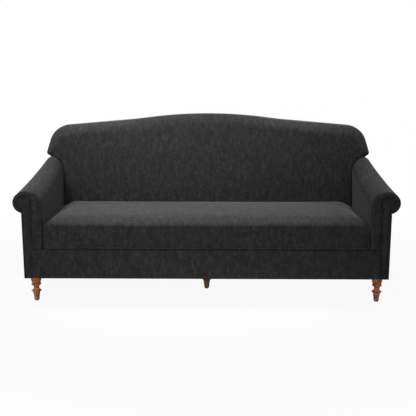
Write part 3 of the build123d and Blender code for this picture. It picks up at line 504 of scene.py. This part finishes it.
armPoints = armSurface()
outsidePoints = outsideArmSurface()
panelPoints = panelSurface()
pipeX, pipeZ = scrollOutline(panelShape["pipingGrow"], sofa["base"], *panelShape["pipingCounts"])
pipePoints = pipingSurface(pipeX, pipeZ, sofa["front"] + panelShape["pipingBack"], panelShape["piping"])
for side, flip in (("right", False), ("left", True)):
    def place(points):   # as drawn on the right, mirrored on the left
        return mirrorX(points) if flip else points
    piece("arm_upholstery_" + side, patchMesh("arm", [place(armPoints)], closed=False),
          stands=("arm_cover_" + side, "arm_padding_" + side), wall=armShape["wall"])
    piece("outside_arm_" + side, patchMesh("outsideArm", [place(outsidePoints)], closed=False),
          stands=("outside_arm_panel_" + side,), wall=outsideArmShape["wall"])
    panelMesh = patchMesh("scrollPanel", [place(points) for points in panelPoints], closed=False)
    piece("arm_scroll_panel_" + side, panelMesh, stands=("arm_front_panel_" + side,), wall=panelShape["wall"])
    piece("arm_scroll_piping_" + side, patchMesh("piping", [place(pipePoints)]),
          stands=("arm_piping_" + side,))
print("arms:", armPoints.shape)

backShape = {
    "camelRadius": 2900.0, "camelSlope": 7.69, "dipRadius": 2000.0, "shoulderSlope": 4.86,
    "wingX": 1017.5, "wingZ": 748.0, "wingLean": 16.5, "cornerRadius": 124.0, "tipRadius": 21.0,
    "footRise": 8.0, "armGap": 0.9, "frontRound": 64.0, "rearRound": 42.0, "notchRound": 15.0,
    "belly": 5.0, "rearProud": 0.8, "footGap": 0.5,
    "frontMargin": 6.0, "notchMargin": 2.0, "squeeze": 0.8,   # how the rows crowd towards the rounds
    "columns": 150, "bunch": 1.18, "lowRows": 44, "upRows": 30, "topRows": 13, "notchRows": 8,
    "points": {"inner": 30, "overTop": 22, "overRoll": 4, "foot": 9, "tip": 17, "side": 20, "corner": 34,
               "shoulder": 30, "dip": 20, "crest": 40},
}


# Points on an arc from one angle to another
def sweepArc(centre, radius, start, stop, count):
    a = np.linspace(start, stop, count)
    return np.array(centre) + radius * np.stack([np.cos(a), np.sin(a)], axis=-1)


# Right half of the back's outline. The notch follows the arm's rear section: up its inner face, over
# its top arc and on to the roll, then out along the wing's rising foot. The upper line goes on round
# the wing's tip, up the leaning side and over the corner, shoulder, hollow and camel arcs
def backOutline():
    b, n = backShape, backShape["points"]
    slope, easy, lean = (math.radians(b[k]) for k in ("camelSlope", "shoulderSlope", "wingLean"))
    crestZ = sofa["top"] - b["camelRadius"]
    reach = b["camelRadius"] + b["dipRadius"]
    hollow = np.array([reach * math.sin(slope), crestZ + reach * math.cos(slope)])
    end = hollow - b["dipRadius"] * np.array([math.sin(easy), math.cos(easy)])
    up = np.array([math.sin(easy), math.cos(easy)])
    out = np.array([math.cos(lean), math.sin(lean)])
    wing = np.array([b["wingX"], b["wingZ"]])
    sides = np.array([end @ up - b["cornerRadius"], wing @ out - b["cornerRadius"]])
    corner = np.linalg.solve(np.stack([up, out]), sides)
    roll = np.array([armShape["rollX"][2], armShape["rollZ"][2]])
    radius, wide = armShape["rollRadius"][2], armShape["topRadius"][2]
    across = roll[0] - sofa["inner"] - wide
    rise = math.sqrt((wide - radius) ** 2 - across ** 2)
    turn = math.atan2(rise, across)
    foot = math.radians(b["footRise"])
    down = np.array([math.sin(foot), -math.cos(foot)])
    face = sofa["inner"] - b["armGap"]
    overTop = sweepArc((sofa["inner"] + wide, roll[1] - rise), wide + b["armGap"], math.pi, turn, n["overTop"])
    overRoll = sweepArc(roll, radius + b["armGap"], turn, math.pi / 2 + foot, n["overRoll"])
    tipSides = np.array([overRoll[-1] @ down - b["tipRadius"], wing @ out - b["tipRadius"]])
    tip = np.linalg.solve(np.stack([down, out]), tipSides)
    tipArc = sweepArc(tip, b["tipRadius"], foot - math.pi / 2, lean, n["tip"])
    innerZ = np.linspace(sofa["deck"], overTop[0, 1], n["inner"], endpoint=False)
    inner = np.stack([np.full(n["inner"], face), innerZ], axis=-1)
    line = overRoll[-1] + (tipArc[0] - overRoll[-1]) * np.linspace(0, 1, n["foot"])[1:-1, None]
    notch = np.concatenate([overTop, overRoll[1:], line, tipArc[:1]])
    cornerArc = sweepArc(corner, b["cornerRadius"], lean, math.pi / 2 - easy, n["corner"])
    dip = sweepArc(hollow, b["dipRadius"], 1.5 * math.pi - easy, 1.5 * math.pi - slope, n["dip"])
    crest = sweepArc((0.0, crestZ), b["camelRadius"], math.pi / 2 - slope, math.pi / 2, n["crest"])
    side = tipArc[-1] + (cornerArc[0] - tipArc[-1]) * np.linspace(0, 1, n["side"])[1:-1, None]
    toDip = np.linspace(0, 1, n["shoulder"])[1:-1, None]
    shoulder = cornerArc[-1] + (dip[0] - cornerArc[-1]) * toDip
    return inner, notch, np.concatenate([tipArc, side, cornerArc, shoulder, dip[1:], crest[1:]])


# Quarter-circle roll-off: 0 inside the radius, the full radius at the edge
def rollOff(distance, radius):
    inside = np.clip(radius - distance, 0, radius)
    return radius - np.sqrt(np.maximum(radius * radius - inside * inside, 0))


# Tight back: columns across and rows up, shared by a front and a rear sheet that roll off to meet
# at the outline; beyond the arms' inner faces the columns stand on the notch over the arm
def backSurface():
    b = backShape
    inner, notch, upper = backOutline()
    widest = int(np.argmax(upper[:, 0]))
    topLine = upper[widest:]
    footLine = np.concatenate([notch, upper[1:widest + 1]])
    spread = np.sin(np.linspace(0, b["bunch"], b["columns"] // 2 + 1))
    mainX = footLine[0, 0] * spread / math.sin(b["bunch"])
    rightX = np.concatenate([mainX, footLine[1:, 0]])
    rightLow = np.concatenate([np.full(len(mainX), footLine[0, 1]), footLine[1:, 1]])
    xs = np.concatenate([-rightX[:0:-1], rightX])
    lowZ = np.concatenate([rightLow[:0:-1], rightLow])
    ax = np.abs(xs)
    topZ = np.interp(ax, topLine[::-1, 0], topLine[::-1, 1])
    topTurn, lowTurn = (np.linspace(0, math.pi / 2, b[key]) for key in ("topRows", "notchRows"))
    nearTop = (b["frontRound"] + b["frontMargin"]) * (1 - np.sin(topTurn))
    nearLow = (b["notchRound"] + b["notchMargin"]) * (1 - np.cos(lowTurn))
    squeeze = np.minimum(1.0, b["squeeze"] * (topZ - lowZ) / (nearTop[0] + nearLow[-1]))
    lowRows = lowZ + nearLow[:, None] * squeeze
    topRows = topZ - nearTop[:, None] * squeeze
    between = np.linspace(0, 1, b["upRows"])[1:-1, None]
    zUp = np.concatenate([lowRows, lowRows[-1] + (topRows[0] - lowRows[-1]) * between, topRows])
    xUp = np.broadcast_to(xs, zUp.shape)
    main = ax <= footLine[0, 0] + 1e-6
    zLow = np.linspace(sofa["deck"] + b["footGap"], footLine[0, 1], b["lowRows"])[:, None] + 0 * xs[main]
    xLow = np.broadcast_to(xs[main], zLow.shape)
    # one more point on the camel arc, 60 mm past the middle and so 0.6 mm lower
    rim = np.concatenate([upper, [[-60.0, sofa["top"] - 0.6]]])
    seat = np.concatenate([inner, notch])

    # front or rear line in depth, less the roll-offs near the outline and the notch
    def sheet(x, z, front):
        flat = np.stack([np.abs(x).ravel(), z.ravel()], axis=-1)
        far = nearest(flat, rim).reshape(x.shape)
        by = nearest(flat, seat).reshape(x.shape)
        if front:
            off = np.maximum(rollOff(far, b["frontRound"]), rollOff(by, b["notchRound"]))
            y = backLine(z) - b["belly"] * (1 - (x / sofa["half"]) ** 2) + off
        else:
            y = rearLine(z) + b["rearProud"] - rollOff(far, b["rearRound"])
        return np.stack([x, y, z], axis=-1)

    frontUp, rearUp = sheet(xUp, zUp, True), sheet(xUp, zUp, False)
    frontLow, rearLow = sheet(xLow, zLow, True), sheet(xLow, zLow, False)

    def wall(a, c, steps=6):   # straight strip from one edge to another
        t = np.linspace(0, 1, steps)[:, None, None]
        return a[None] + (c - a)[None] * t

    split = np.flatnonzero(main)
    up, low = np.stack([frontUp, rearUp]), np.stack([frontLow, rearLow])
    edges = [up[:, -1], low[:, 0], low[:, :, 0], low[:, :, -1], up[:, 0, :split[0] + 1], up[:, 0, split[-1]:]]
    sheets = [frontUp, rearUp[:, ::-1], frontLow, rearLow[:, ::-1]]
    return sheets + [wall(front, rear) for front, rear in edges]


back = piece("back_upholstery", patchMesh("back", backSurface()),
             stands=("back_cover", "back_padding"))
print("back:", len(back.data.polygons))

cushionShape = {
    "sideGap": 4.0, "footGap": 0.5, "backGap": 6.0, "backGapRise": 60.0, "nose": 3.0,
    "frontCorner": 16.0, "rearCorner": 70.0, "spine": 0.3, "footRound": 4.0, "swell": 3.0,
    "frontBase": 470.0, "rearBase": 469.0,   # heights at which the rounds end and the crown begins
    "endY": (-420.0, -300.0, 0.0, 170.0), "endBase": (458.0, 462.0, 464.0, 464.0),
    "frontRound": (110.0, 42.0), "sideRound": (150.0, 42.0), "rearRound": (50.0, 34.0),   # width and height
    "crownTop": 477.0,
    "around": 440, "footRows": 7, "footRoundRows": 6, "boxRows": 12, "roundRows": 16, "crownRows": 26,
}


# Rounded rectangle in plan, walked anticlockwise from the front left: four sides and four corner
# arcs; returns the points and their outward directions
def roundedPlan(half, deep, rFront, rRear, count):
    corners = ((1, -1, rFront), (1, 1, rRear), (-1, 1, rRear), (-1, -1, rFront))
    ends = 2 * deep - rFront - rRear
    runs = (2 * (half - rFront), ends, 2 * (half - rRear), ends)
    s = np.linspace(0, sum(runs) + math.pi * (rFront + rRear), count, endpoint=False)
    x, y, turn = np.zeros(count), np.zeros(count), np.zeros(count)
    start = 0.0
    for i, (cx, cy, r) in enumerate(corners):
        cornerX, cornerY, angle = cx * (half - r), cy * (deep - r), (i - 1) * math.pi / 2
        on = (s >= start) & (s < start + runs[i])
        left = start + runs[i] - s[on]
        turn[on] = angle
        x[on] = cornerX + r * math.cos(angle) + left * math.sin(angle)
        y[on] = cornerY + r * math.sin(angle) - left * math.cos(angle)
        start += runs[i]
        on = (s >= start) & (s < start + r * math.pi / 2)
        turn[on] = angle + (s[on] - start) / r
        x[on] = cornerX + r * np.cos(turn[on])
        y[on] = cornerY + r * np.sin(turn[on])
        start += r * math.pi / 2
    return x, y, turn


# Loose cushion: a rounded plan drawn towards its long middle line; from below: a flat foot, a small
# foot round, swelling upright sides, then an elliptic round added to a parabolic crown, so that the
# top rolls over at the front and the ends and is highest behind the middle
def cushionSurface():
    c = cushionShape
    half = sofa["inner"] - c["sideGap"]
    front = sofa["front"] - c["nose"]
    low = sofa["deck"] + c["footGap"]
    backAt = float(backLine(np.array(low + c["backGapRise"])))
    rear = backAt - c["backGap"]
    mid, deep = (front + rear) / 2, (rear - front) / 2
    px, py, turn = roundedPlan(half, deep, c["frontCorner"], c["rearCorner"], c["around"])
    spineHalf = half - deep * (1 - c["spine"])
    toSpine = np.stack([np.clip(px, -spineHalf, spineHalf) - px, c["spine"] * deep - py], axis=-1)
    reach = np.linalg.norm(toSpine, axis=1)
    toSpine /= reach[:, None]
    ahead, behind = np.maximum(-np.sin(turn), 0) ** 2, np.maximum(np.sin(turn), 0) ** 2
    beside = 1 - ahead - behind
    wide, tall = (ahead * f + beside * s + behind * r
                  for f, s, r in zip(c["frontRound"], c["sideRound"], c["rearRound"]))
    endBase = np.interp(mid + py, c["endY"], c["endBase"])
    base = ahead * c["frontBase"] + behind * c["rearBase"] + beside * endBase
    small = c["footRound"]
    foot = np.linspace(1, 0, c["footRows"] + 1)[:-1, None]
    a = np.linspace(0, math.pi / 2, c["footRoundRows"])[:, None]
    box = np.linspace(0, 1, c["boxRows"] + 2)[1:-1, None]
    e = np.linspace(0, math.pi / 2, c["roundRows"])[:, None]
    flat = np.linspace(0, 1, c["crownRows"])[1:, None]
    over = np.concatenate([wide * (1 - np.cos(e)), wide + (reach - wide) * flat])
    inset = np.concatenate([small + (reach - small) * foot, small * (1 - np.sin(a)) + 0 * reach,
                            -c["swell"] * np.sin(math.pi * box) + 0 * reach, over])
    rounded = tall * np.sqrt(1 - np.clip(1 - over / wide, 0, 1) ** 2)
    crown = (c["crownTop"] - base) * (1 - (1 - over / reach) ** 2)
    z = np.concatenate([low + 0 * foot * reach, low + small * (1 - np.cos(a)) + 0 * reach,
                        low + small + (base - tall - low - small) * box, base - tall + rounded + crown])
    x = px + toSpine[:, 0] * inset
    y = mid + py + toSpine[:, 1] * inset
    lean = (backLine(z) - backAt) * np.clip((y - mid) / deep, 0, 1) ** 2
    return np.stack([x, y + lean, z], axis=-1), turn


# Points or normals of a mesh as an array
def readPoints(mesh, what="co"):
    values = np.empty(len(mesh.vertices) * 3, dtype=np.float32)
    mesh.vertices.foreach_get(what, values)
    return values.reshape(-1, 3)


swelling = {
    "shrink": 4.0, "voxel": 11.0, "pressure": 4.0, "frames": 20, "cap": 7.0,
    "footSquare": 26.0, "footPower": 2.4, "sideRoom": 4.0, "rearRoom": 7.0,
    # at the front, ends and rear: what is given back, what the foot gets besides, where that begins
    "regain": (5.0, 3.0, 4.0), "footFlare": (6.0, 3.0, 13.0), "begin": (330.0, 810.0, 60.0),
    "footBand": 60.0, "easeWidth": 60.0,
}


# Padded shape: drawn in by the shrink, remeshed in voxels, then swollen by air pressure in a cloth
# simulation without gravity; no point moves further than the cap. The foot is then squared, what the
# drawing-in and the voxels took is given back, and all points stay in the seat's space
def inflate(mesh, c):
    points = readPoints(mesh) - readPoints(mesh, "normal") * c["shrink"] * 0.001
    mesh.vertices.foreach_set("co", points.ravel())
    work = bpy.data.objects.new("swelling", mesh)
    bpy.context.scene.collection.objects.link(work)
    remesh = work.modifiers.new("remesh", "REMESH")
    remesh.mode = "VOXEL"
    remesh.voxel_size = c["voxel"] * 0.001
    first = bpy.data.meshes.new_from_object(work.evaluated_get(bpy.context.evaluated_depsgraph_get()))
    work.modifiers.clear()
    work.data = first
    cloth = work.modifiers.new("cloth", "CLOTH")
    cloth.settings.use_pressure = True
    cloth.settings.uniform_pressure_force = c["pressure"]
    cloth.settings.effector_weights.gravity = 0.0
    cloth.point_cache.frame_start, cloth.point_cache.frame_end = 1, c["frames"]
    for step in range(1, c["frames"] + 1):
        bpy.context.scene.frame_set(step)
    last = bpy.data.meshes.new_from_object(work.evaluated_get(bpy.context.evaluated_depsgraph_get()))
    start, end = readPoints(first), readPoints(last)
    move = end - start
    far = np.linalg.norm(move, axis=1, keepdims=True)
    mean, most = (round(float(v) * 1000, 2) for v in (far.mean(), far.max()))
    print("swelling:", len(start), "points, mean", mean, "mm, most", most, "mm")
    placed = start + move * np.minimum(1, c["cap"] * 0.001 / np.maximum(far, 1e-9))
    gap = cushionShape["footGap"]
    rise = np.clip((placed[:, 2] * 1000 - sofa["deck"]) / c["footSquare"], 0, 1)
    pressed = (sofa["deck"] + gap + (c["footSquare"] - gap) * rise ** c["footPower"]) * 0.001
    placed[:, 2] = np.where(rise < 1, pressed, placed[:, 2])
    foot = 1 - np.clip((placed[:, 2] * 1000 - sofa["deck"]) / c["footBand"], 0, 1)
    reaches = (-placed[:, 1], np.abs(placed[:, 0]), placed[:, 1])
    shares = [np.clip((r * 1000 - begin) / c["easeWidth"], 0, 1) for r, begin in zip(reaches, c["begin"])]
    outFront, outEnds, outRear = (w * w * (3 - 2 * w) * (r + f * foot) * 0.001
                                  for w, r, f in zip(shares, c["regain"], c["footFlare"]))
    placed[:, 1] += outRear - outFront
    placed[:, 0] += np.sign(placed[:, 0]) * outEnds
    side = (sofa["inner"] - c["sideRoom"]) * 0.001
    placed[:, 0] = np.clip(placed[:, 0], -side, side)
    placed[:, 1] = np.minimum(placed[:, 1], (backLine(placed[:, 2] * 1000) - c["rearRoom"]) * 0.001)
    last.vertices.foreach_set("co", placed.ravel())
    last.polygons.foreach_set("use_smooth", np.ones(len(last.polygons), dtype=bool))
    last.update()
    bpy.data.objects.remove(work)
    bpy.context.scene.frame_set(1)
    return last


# Nearest spots of a mesh to the points of a path, in mm, with the mesh's normals there
def onMesh(tree, path):
    hits = [tree.find_nearest(tuple(p * 0.001)) for p in path]
    return np.array([h[0] for h in hits]) * 1000, np.array([h[1] for h in hits])


# Spots where level rays, sent in from a distance outside the path, meet the mesh, in mm
def levelSpots(tree, path, outward, away=60):
    hits = [tree.ray_cast(tuple((p + away * o) * 0.001), tuple(-o))[0] for p, o in zip(path, outward)]
    return np.array([tuple(h) for h in hits]) * 1000


# Tube along spots on a surface: a circle is carried on the surface's normal and the direction square
# to it, and stands proud by a share of its radius
def seamSurface(spots, normals, radius, lift=0.35, sides=8, loop=False):
    ahead = np.roll(spots, -1, axis=0) - np.roll(spots, 1, axis=0) if loop else np.gradient(spots, axis=0)
    ahead /= np.linalg.norm(ahead, axis=1, keepdims=True)
    across = np.cross(ahead, normals)
    across /= np.linalg.norm(across, axis=1, keepdims=True)
    turn = np.linspace(0, 2 * math.pi, sides + 1)[None, :, None]
    ring = np.cos(turn) * normals[:, None, :] + np.sin(turn) * across[:, None, :]
    return spots[:, None, :] + normals[:, None, :] * radius * lift + radius * ring


cushionPoints, cushionTurn = cushionSurface()
cushionMesh = patchMesh("cushion", [np.swapaxes(cushionPoints, 0, 1)], wrap=True)
cushionMesh = inflate(cushionMesh, swelling)
cushion = piece("seat_cushion_body", cushionMesh, body="seat_cushion",
                stands=("seat_cushion_cover", "seat_cushion_foam"))
finer = cushion.modifiers.new("finer", "SUBSURF")
finer.levels = finer.render_levels = 1
print("cushion:", len(cushion.data.polygons))

weltShape = {
    "footRadius": 3.4, "footRise": 8.6, "footProud": 2.2, "footSink": 1.2,   # proud at the front only
    "endRadius": 2.2, "endLap": 0.12, "endRow": 4, "smoothing": 6,
}

# Welts: one round the foot of the cushion, and one round each end panel, from the foot up the front
# corner, along the top of the end and down at the rear
cushionTree = BVHTree.FromPolygons([v.co for v in cushionMesh.vertices],
                                   [p.vertices for p in cushionMesh.polygons])
boxStart = cushionShape["footRows"] + cushionShape["footRoundRows"]
footRow, roundRow = boxStart - 1, boxStart + cushionShape["boxRows"] + weltShape["endRow"]
footPath = cushionPoints[footRow].copy()
footPath[:, 2] = sofa["deck"] + weltShape["footRise"]
outward = np.stack([np.cos(cushionTurn), np.sin(cushionTurn), 0 * cushionTurn], axis=-1)
proud = weltShape["footProud"] * np.maximum(-np.sin(cushionTurn), 0) ** 2 - weltShape["footSink"]
footSpots = levelSpots(cushionTree, footPath, outward) + proud[:, None] * outward
footWelt = seamSurface(footSpots, outward, weltShape["footRadius"], loop=True)
# the foot welt wears the lightened finish: a painted highlight
piece("cushion_foot_seam", patchMesh("footSeam", [footWelt], wrap=True), body="seat_cushion",
      finish=weltHighlightChenille)
for side, first, last in (("right", -math.pi / 4, math.pi / 4), ("left", 3 * math.pi / 4, 5 * math.pi / 4)):
    lap = weltShape["endLap"]
    columns = np.flatnonzero((cushionTurn >= first - lap) & (cushionTurn <= last + lap))
    climb = np.arange(footRow, roundRow)
    endPath = np.concatenate([cushionPoints[climb, columns[0]], cushionPoints[roundRow, columns],
                              cushionPoints[climb[::-1], columns[-1]]])
    for again in range(weltShape["smoothing"]):
        endPath[1:-1] = (endPath[:-2] + 2 * endPath[1:-1] + endPath[2:]) / 4
    endWelt = seamSurface(*onMesh(cushionTree, endPath), weltShape["endRadius"])
    # the end welts wear the lightened finish: a painted highlight
    piece("cushion_end_seam_" + side, patchMesh("endSeam", [endWelt]), body="seat_cushion",
          finish=weltHighlightChenille)
print("cushion welts done")

borderShape = {
    "half": 955.0, "puff": 2.5, "puffWidth": 60.0, "edge": 7.0, "hem": 1.0, "topGap": 0.6,
    "columns": 200, "rows": 40, "wall": 3.0,
}


# Front border: a flat padded strip that rolls back at its lower and upper edge
def borderSurface():
    b = borderShape
    bottom, top = sofa["base"] - b["hem"], sofa["deck"] - b["topGap"]
    z = np.linspace(bottom, top, b["rows"])[None, :]
    half = b["half"] + panelFlare(z)
    x = half * np.linspace(-1, 1, b["columns"])[:, None]
    rim = np.minimum(z - bottom, top - z)
    puff = np.clip(np.minimum(half - np.abs(x), rim) / b["puffWidth"], 0, 1) ** 0.5
    y = sofa["front"] - b["puff"] * puff + rollOff(rim, b["edge"])
    return np.stack([x + 0 * z, y, z + 0 * x], axis=-1)


piece("front_border_cover", patchMesh("border", [borderSurface()], closed=False),
      stands=("front_border",), wall=borderShape["wall"])
print("border done")

deckShape = {"sink": 0.2, "sag": 1.5, "sagWidth": 150.0, "edge": 3.0, "columns": 120, "rows": 44, "wall": 2.0}


# Seat deck under the cushion: a flat stretched cloth whose edges roll down and whose middle sags a little
def deckSurface():
    d = deckShape
    low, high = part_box("seat_deck")
    x = np.linspace(low[0], high[0], d["columns"])[:, None] * 1000
    y = np.linspace(low[1], high[1], d["rows"])[None, :] * 1000
    rim = np.minimum(np.minimum(x - x.min(), x.max() - x), np.minimum(y - y.min(), y.max() - y))
    sag = d["sag"] * np.clip(rim / d["sagWidth"], 0, 1) ** 2
    z = high[2] * 1000 - d["sink"] - sag - rollOff(rim, d["edge"])
    return np.stack([x + 0 * y, y + 0 * x, z], axis=-1)


piece("seat_deck_cloth", patchMesh("deck", [deckSurface()], closed=False), "lining",
      stands=("seat_deck",), wall=deckShape["wall"])

springShape = {"count": 8, "bends": 12, "wire": 4.0, "wave": 60.0, "arcPoints": 8}


# Sinuous springs: a zigzag of straight runs and half-circle bends, with a circle carried along it
def springSurfaces():
    s = springShape
    low, high = (np.array(v) * 1000 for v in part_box("seat_springs"))
    step = (high[1] - low[1] - s["wire"]) / (2 * s["bends"])
    reach = (s["wave"] - step) / 2
    run = np.arange(2 * s["bends"])[:, None]
    a = np.linspace(-math.pi / 2, math.pi / 2, s["arcPoints"])[None, :]
    x = (1 - 2 * (run % 2)) * (reach + step / 2 * np.cos(a))
    y = step * (run + 0.5 + 0.5 * np.sin(a))
    x = np.concatenate([[-reach], x.ravel(), [reach]])
    y = low[1] + s["wire"] / 2 + np.concatenate([[0.0], y.ravel(), [step * len(run)]])
    z = np.full_like(x, (low[2] + high[2]) / 2)
    up = np.tile([0.0, 0.0, 1.0], (len(x), 1))
    wire = seamSurface(np.stack([x, y, z], axis=-1), up, s["wire"] / 2, lift=0.0)
    pitch = 2 * sofa["inner"] / s["count"]
    return [wire + np.array([pitch * (i + 0.5) - sofa["inner"], 0.0, 0.0]) for i in range(s["count"])]


piece("seat_spring_wires", patchMesh("springs", springSurfaces()), "spring_steel",
      stands=("seat_springs",))
print("deck and springs done")

outsideBackShape = {
    "inset": 44.0, "armInset": 0.5, "rollInset": 1.5, "proud": 3.0, "puff": 2.0, "puffHeight": 811.0,
    "bunch": 1.2, "columns": 141, "armColumns": 8, "upRows": 24, "lowRows": 50, "wall": 3.0,
}


# Outside back: a tight sheet on the sloping rear plane, as wide as the arms below and as the wings
# above, where it follows the back's outline a little inside it; rounded over the arms' ends
def outsideBackSurface():
    o = outsideBackShape
    upper = backOutline()[2]
    ahead = np.gradient(upper, axis=0)
    out = np.stack([ahead[:, 1], -ahead[:, 0]], axis=-1) / np.linalg.norm(ahead, axis=1, keepdims=True)
    line = upper - o["inset"] * out
    line = line[line[:, 1] >= sofa["panelStep"]]
    line = line[np.argmax(line[:, 0]):]
    wingHalf = line[0, 0]
    spread = np.sin(np.linspace(-o["bunch"], o["bunch"], o["columns"]))
    middle = wingHalf * spread / math.sin(o["bunch"])
    arms = np.linspace(wingHalf, sofa["half"] - o["armInset"], o["armColumns"])[1:]
    xLow = np.concatenate([-arms[::-1], middle, arms])
    topZ = np.interp(np.abs(middle), line[::-1, 0], line[::-1, 1])
    rise = np.linspace(0, 1, o["upRows"])[:, None]
    zUp = sofa["panelStep"] + (topZ - sofa["panelStep"]) * rise
    rollX, rollZ, rollR = (armShape[k][2] for k in ("rollX", "rollZ", "rollRadius"))
    over = np.sqrt(np.maximum(rollR ** 2 - np.maximum(arms - rollX, 0) ** 2, 0))
    over = rollZ - o["rollInset"] + over
    lowTop = np.concatenate([over[::-1], np.full(len(middle), sofa["panelStep"]), over])
    zLow = sofa["base"] + (lowTop - sofa["base"]) * np.linspace(0, 1, o["lowRows"])[:, None]

    def sheet(x, z):   # rear plane with a swell of half a sine wave each way
        acrossPuff = np.sin(math.pi * (x / (2 * sofa["half"]) + 0.5))
        upPuff = np.sin(math.pi * np.clip((z - sofa["base"]) / o["puffHeight"], 0, 1))
        return np.stack([x + 0 * z, rearLine(z) + o["proud"] + o["puff"] * acrossPuff * upPuff, z], axis=-1)

    return [sheet(xLow[None, :], zLow)[:, ::-1], sheet(middle[None, :], zUp)[:, ::-1]]


piece("outside_back_cloth", patchMesh("outsideBack", outsideBackSurface(), closed=False),
      stands=("outside_back_panel",), wall=outsideBackShape["wall"])
print("outside back done")

view = {
    "place": (0.0586, -4.263, 1.324), "down": 11.55, "turn": 0.71,   # metres and degrees
    "sensor": 36.0, "focalPixels": 724.2, "framePixels": 416.0, "clip": 60.0,
}
camera = bpy.data.objects.new("camera", bpy.data.cameras.new("camera"))
bpy.context.scene.collection.objects.link(camera)
camera.data.sensor_width = view["sensor"]
camera.data.lens = view["sensor"] * view["focalPixels"] / view["framePixels"]
camera.location = view["place"]
camera.rotation_euler = (math.radians(90 - view["down"]), 0.0, math.radians(view["turn"]))
camera.data.clip_end = view["clip"]
bpy.context.scene.camera = camera

# Place, aim, size in metres, spread in degrees and power in watts
lamps = {
    "key": ((-1.2, -3.3, 1.6), (0.0, 0.0, 0.45), (1.6, 1.6), 180.0, 31.0),
    "top": ((-0.2, 0.40, 3.0), (-0.14, -0.10, 0.45), (2.0, 0.35), 32.0, 3.6),
    "topLeft": ((-1.8, 0.40, 3.0), (-0.46, -0.10, 0.45), (0.8, 0.35), 36.0, 3.5),
    "topRight": ((1.6, 0.40, 3.0), (0.46, -0.10, 0.45), (0.8, 0.35), 36.0, 2.5),
    "front": ((-1.6, -3.2, 3.0), (-0.3, 0.2, 1.3), (1.2, 1.2), 24.0, 3.0),
    "rear": ((0.9, 3.6, 1.5), (0.0, 0.3, 0.5), (1.6, 1.6), 180.0, 24.0),
}
for name, (spot, aim, size, spread, power) in lamps.items():
    lamp = bpy.data.lights.new(name, "AREA")
    lamp.shape = "RECTANGLE"
    lamp.size, lamp.size_y = size
    lamp.spread = math.radians(spread)
    lamp.energy = power
    lampObject = bpy.data.objects.new(name, lamp)
    bpy.context.scene.collection.objects.link(lampObject)
    lampObject.location = spot
    way = np.array(aim) - np.array(spot)
    yaw = math.atan2(way[1], way[0])
    tilt = math.atan2(math.hypot(way[0], way[1]), -way[2])
    lampObject.rotation_euler = (tilt, 0.0, yaw - math.pi / 2)

# White to the camera and in reflections, a weak fill for the rest
studio = {"fill": 0.085, "floorHalf": 14.0, "paper": "#e6e6e6", "paperRoughness": 0.9,
          "glowNear": 0.93, "glowFrom": 1.2, "glowTo": 2.4}
world = bpy.data.worlds.new("studio")
bpy.context.scene.world = world
world.use_nodes = True
worldTree = world.node_tree
rays = addNode(worldTree, "ShaderNodeLightPath")
seen = addNode(worldTree, "ShaderNodeMath", {"operation": "MAXIMUM"},
               links={0: rays.outputs["Is Camera Ray"], 1: rays.outputs["Is Glossy Ray"]})
level = addNode(worldTree, "ShaderNodeMapRange", values={"To Min": studio["fill"], "To Max": 1.0},
                links={"Value": seen.outputs[0]})
feed(worldTree, worldTree.nodes["Background"], {"Color": (1.0, 1.0, 1.0, 1.0)},
     {"Strength": level.outputs["Result"]})

# Floor of white paper: it keeps the shadow near the sofa and fades to plain white for the camera
wide = studio["floorHalf"]
floorMesh = bpy.data.meshes.new("floor")
floorCorners = [(-wide, -wide, 0), (wide, -wide, 0), (wide, wide, 0), (-wide, wide, 0)]
floorMesh.from_pydata(floorCorners, [], [(0, 1, 2, 3)])
floor = bpy.data.objects.new("floor", floorMesh)
bpy.context.scene.collection.objects.link(floor)
paper, paperTree, paperShader, paperWhere = newFinish("white paper floor")
feed(paperTree, paperShader, {"Base Color": hexColour(studio["paper"]),
                              "Roughness": studio["paperRoughness"], "Specular IOR Level": 0.0})
glow = addNode(paperTree, "ShaderNodeEmission", values={"Color": (1, 1, 1, 1), "Strength": 1.0})
paperRays = addNode(paperTree, "ShaderNodeLightPath")
far = addNode(paperTree, "ShaderNodeVectorMath", {"operation": "LENGTH"}, links={0: paperWhere})
fade = addNode(paperTree, "ShaderNodeMapRange",
               values={"From Min": studio["glowFrom"], "From Max": studio["glowTo"],
                       "To Min": studio["glowNear"], "To Max": 1.0},
               links={"Value": far.outputs["Value"]})
shown = addNode(paperTree, "ShaderNodeMath", {"operation": "MULTIPLY"},
                links={0: paperRays.outputs["Is Camera Ray"], 1: fade.outputs["Result"]})
blendPaper = addNode(paperTree, "ShaderNodeMixShader", links={
    "Fac": shown.outputs[0], 1: paperShader.outputs["BSDF"], 2: glow.outputs["Emission"]})
feed(paperTree, paperTree.nodes["Material Output"], links={"Surface": blendPaper.outputs["Shader"]})
floorMesh.materials.append(paper)
print("studio done")

bpy.context.scene.view_settings.view_transform = "Standard"
